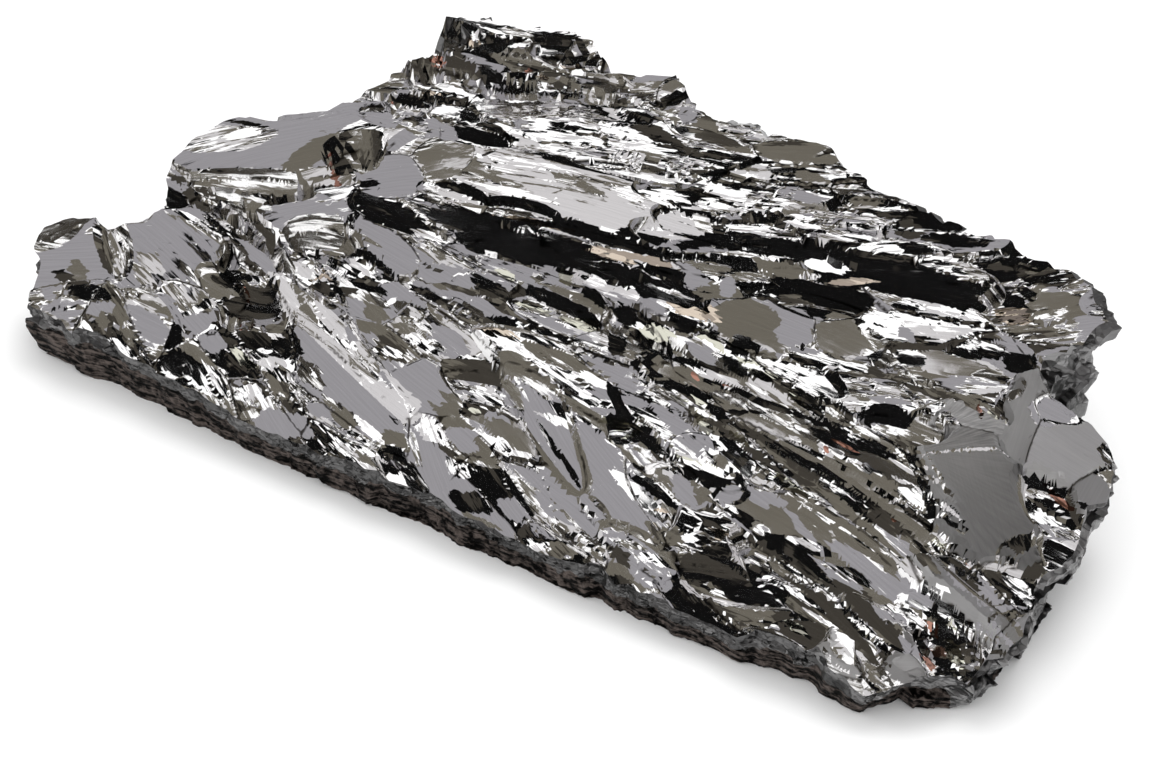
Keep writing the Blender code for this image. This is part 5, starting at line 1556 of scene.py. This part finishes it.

# %% [markdown]
# The layered crust
#
# The crust is dark, dull and layered. Noise squashed in height gives the layers, and noise that isn't
# squashed breaks them into grains and pits. The pits are darkest where the bump is lowest: partly the
# crust's own dark, partly painted shade. It ends upwards in a ragged edge.

# %% Crust
LAYERS = (0.45, 0.45, 3.0)    # the noise is stretched along the slab and squashed in height
# the near-black of the pits is partly the crust's own dark, partly painted shade where its bump is lowest
PIT, GRAIN = (0.002, 0.0016, 0.0013, 1), (0.13, 0.106, 0.095, 1)
LAYERED = 0.6            # share of the layers, the rest is grains
PIT_TO_GRAIN = (0.46, 0.60)   # values of the noise between which a pit ends and a grain begins
RAGGED = 3.0             # how far the noise moves the crust's upper edge
RELIEF_DEPTH = 0.0012    # depth of its bumps, in metres
layers = vector_calc("MULTIPLY", position, LAYERS)
strata = plus(times(LAYERED, noise(layers, 800.0, 5.0)), times(1 - LAYERED, noise(position, 1300.0, 4.0)))
crust_colour = blend("RGBA", ramp(strata, *PIT_TO_GRAIN), PIT, GRAIN)
crust_edge = times(RAGGED, plus(noise(position, 420.0, 3.0), -0.5))
crust = ramp(plus(stored("crust"), crust_edge), 0.0, 0.1)
bump = new_node("Bump", strata)
for name, value in (("Distance", RELIEF_DEPTH), ("Strength", 1.0), ("Height", strata)):
    feed(bump.inputs[name], value)
feed(shader.inputs["Normal"], blend("VECTOR", crust, ore_normal, bump.outputs["Normal"]))
print("nodes so far:", len(tree.nodes))

# %% [markdown]
# Greys of the walls and of the satin faces
#
# Every lump of the wall has its own grey, with painted shade in the crevice round it and a fine grain over
# all. A satin face is a little cloudy and brushed with hairlines along the crystal. The fan has painted
# light: it is lightest at its foot and fades outwards, with the rays in it.

# %% Wall grey
LUMP_GREYS = (0.18, 0.46)     # darkest and lightest lump,
DARKER = 1.5             # with more of the dark ones
CREVICE, CREVICE_WIDTH = 0.45, 0.045    # painted shade: share of the light in a crevice, and its width in lumps
WALL_GRAIN_LIGHT = (0.6, 1.4)
wall_grey_and_shade = between(*LUMP_GREYS, calc("POWER", lumps, DARKER))
to_edge = cells(knobbly, LUMPS, "DISTANCE_TO_EDGE").outputs["Distance"]
# painted shade: each lump is darkened in the crevice round it
wall_grey_and_shade = times(wall_grey_and_shade, between(CREVICE, 1.0, ramp(to_edge, 0.0, CREVICE_WIDTH)))
wall_grey_and_shade = times(wall_grey_and_shade, between(*WALL_GRAIN_LIGHT, noise(layers, 1600.0, 3.0)))
print("darkest and lightest lump:", LUMP_GREYS)

# %% Satin grey
CLOUDS, HAIRLINES = (0.7, 1.3), (0.87, 1.13)    # least and most light of a cloud and of a hairline
BRUSH = (0.16, 5.0, 0)   # how often the hairlines change along and across the crystal
FAN_PAINTED_LIGHT = (1.15, 0.77)      # painted light at the foot of the fan and outside,
FAN_REACH = (2.0, 15.0)       # and the distances from the foot between which it fades
RAY_LIGHT = 2.2          # how much a ray lightens or darkens
SATIN_LIFT = 0.08
cloudy_and_lit = between(*CLOUDS, noise(position, 70.0, 2.0))
# painted light: the fan is painted lightest at its foot and darker outwards
fan_light_and_rays = plus(between(*FAN_PAINTED_LIGHT, ramp(outward, *FAN_REACH)), times(RAY_LIGHT, rays))
cloudy_and_lit = times(cloudy_and_lit, blend("FLOAT", in_fan, 1.0, fan_light_and_rays))
brushed = between(*HAIRLINES, noise(vector_calc("MULTIPLY", blade, BRUSH), 1.0, 4.0))
cloudy_and_lit = times(cloudy_and_lit, plus(SATIN_LIFT, brushed))
cast = blend("FLOAT", on_wall, blend("FLOAT", satin, brushed, cloudy_and_lit), wall_grey_and_shade)
print("nodes so far:", len(tree.nodes))

# %% [markdown]
# Colour and gloss
#
# The bare metal is nearly white. A patch tints it where it asks for it, dirt and painted shade darken some
# of the seams between the crystals, and the crust takes over below. The satin parts and the crust are
# rougher.

# %% Colour, metal and roughness
BARE = (0.80, 0.79, 0.79)
SEAM_DIRT_AND_SHADE = (0.085, 0.078, 0.070, 1)
MIRROR_ROUGH, SATIN_ROUGH, CRUST_ROUGH = 0.05, 0.24, 0.3    # the last two are added to the first
CRUST_METAL = 0.25       # the crust still has a little metal in it,
CRUST_GLOSS = 0.1        # and hardly any gloss besides
SEAM_WIDTH = (0.06, 0.20)     # dirt and painted shade lie up to the first distance from a seam, and fade to the second
DIRTY = (0.42, 0.50)     # values of the noise between which it begins
by_seam = between(1.0, 0.0, ramp(stored("seam"), *SEAM_WIDTH))
# dirt and painted shade: some seams between the crystals are darkened
seam_dirt_and_shade = times(by_seam, ramp(noise(position, 260.0, 1.0), *DIRTY))
tinted = blend("RGBA", calc("MAXIMUM", on_patch, satin), (1, 1, 1, 1), stored("tint", "Color"))
polished = scaled(vector_calc("MULTIPLY", tinted, BARE), cast)
metal_colour = blend("RGBA", seam_dirt_and_shade, polished, SEAM_DIRT_AND_SHADE)
rough = plus(plus(MIRROR_ROUGH, times(satin, SATIN_ROUGH)), times(crust, CRUST_ROUGH))
for name, value in (("Base Color", blend("RGBA", crust, metal_colour, crust_colour)), ("Roughness", rough),
                    ("Metallic", between(1.0, CRUST_METAL, crust)), ("Specular IOR Level", CRUST_GLOSS)):
    feed(shader.inputs[name], value)
mesh.materials.append(ore)
print("nodes in the finish:", len(tree.nodes))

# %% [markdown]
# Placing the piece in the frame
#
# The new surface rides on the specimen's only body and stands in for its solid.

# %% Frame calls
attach(specimen, "root")
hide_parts(NODE)

# %% [markdown]
# The table
#
# A plain pale table that runs far enough to fill the view from any side.

# %% Floor
FLOOR_SIZE = 6.0
floor_blank = bmesh.new()
bmesh.ops.create_grid(floor_blank, x_segments=1, y_segments=1, size=FLOOR_SIZE / 2)
floor_mesh = bpy.data.meshes.new("table_top")
floor_blank.to_mesh(floor_mesh)
floor_blank.free()
table_top = bpy.data.objects.new("table_top", floor_mesh)
bpy.context.scene.collection.objects.link(table_top)
paint, _, paint_shader = new_material("pale_table")
for name, value in (("Base Color", (0.88, 0.88, 0.88, 1)), ("Roughness", 0.7)):
    feed(paint_shader.inputs[name], value)
floor_mesh.materials.append(paint)
print("table", FLOOR_SIZE, "m across")

# %% [markdown]
# The studio
#
# Mirrored rays see the strips of cloth. Everything else sees a plain pale room, which lights the table
# evenly.

# %% Sky of cloth
PLAIN_LIGHT = 1.2        # strength of the plain room
world = bpy.data.worlds.new("studio")
bpy.context.scene.world = world
world.use_nodes = True
sky = world.node_tree
look = sky.nodes.new("ShaderNodeTexCoord").outputs["Generated"]
spread = new_node("SeparateXYZ", look)
feed(spread.inputs[0], look)
dot = new_node("VectorMath", look)
dot.operation = "DOT_PRODUCT"
feed(dot.inputs[0], look)
feed(dot.inputs[1], across / REPEAT)
flattened = calc("DIVIDE", dot.outputs["Value"], plus(calc("ABSOLUTE", spread.outputs["Z"]), 1.0))
strips = sky.nodes.new("ShaderNodeValToRGB")
strips.color_ramp.interpolation = "CONSTANT"
stops = strips.color_ramp.elements
stops[0].color = CLOTH_COLOUR[STRIPS[0][0]]
stops.remove(stops[1])
for cloth, start in STRIPS[1:]:
    stops.new(start).color = CLOTH_COLOUR[cloth]
feed(strips.inputs["Fac"], calc("FRACT", flattened))
mirrored_sky = sky.nodes["Background"]
feed(mirrored_sky.inputs["Color"], strips.outputs["Color"])
plain_sky = sky.nodes.new("ShaderNodeBackground")
feed(plain_sky.inputs["Color"], (1, 1, 1, 1))
feed(plain_sky.inputs["Strength"], PLAIN_LIGHT)
either = sky.nodes.new("ShaderNodeMixShader")
feed(either.inputs["Fac"], sky.nodes.new("ShaderNodeLightPath").outputs["Is Glossy Ray"])
for place, side in enumerate((plain_sky, mirrored_sky), start=1):
    feed(either.inputs[place], side.outputs["Background"])
feed(sky.nodes["World Output"].inputs["Surface"], either.outputs["Shader"])
print("nodes in the sky:", len(sky.nodes))

# %% [markdown]
# A lamp for the shadow
#
# One large soft lamp high behind the specimen lays its faint shadow on the table towards the camera. The
# mirrors don't see it.

# %% Soft lamp
LAMP_SIZE, LAMP_POWER, LAMP_DISTANCE = 0.5, 2.6, 0.9
LAMP_DIRECTION = away * 0.45 + right * 0.3 + Vector((0, 0, 1))
soft_box = bpy.data.objects.new("soft_box", bpy.data.lights.new("soft_box", "AREA"))
soft_box.data.size = LAMP_SIZE
soft_box.data.energy = LAMP_POWER
soft_box.location = LAMP_DIRECTION.normalized() * LAMP_DISTANCE
soft_box.rotation_euler = (-LAMP_DIRECTION).to_track_quat("-Z", "Y").to_euler()
soft_box.visible_glossy = False
bpy.context.scene.collection.objects.link(soft_box)
print("lamp at", tuple(round(c, 2) for c in soft_box.location))

# %% [markdown]
# The camera
#
# A long lens from the front right, 38 degrees up, frames the whole slab with a little air around it.

# %% Camera
LENS, SENSOR, NEAREST = 120, 36, 0.01
camera = bpy.data.objects.new("camera", bpy.data.cameras.new("camera"))
camera.data.lens = LENS
camera.data.sensor_width = SENSOR
camera.data.clip_start = NEAREST
camera.location = AIM + to_camera * DISTANCE
camera.rotation_euler = (-to_camera).to_track_quat("-Z", "Y").to_euler()
bpy.context.scene.collection.objects.link(camera)
bpy.context.scene.camera = camera
bpy.context.scene.view_settings.view_transform = "Standard"
print("camera at", tuple(round(c, 3) for c in camera.location))
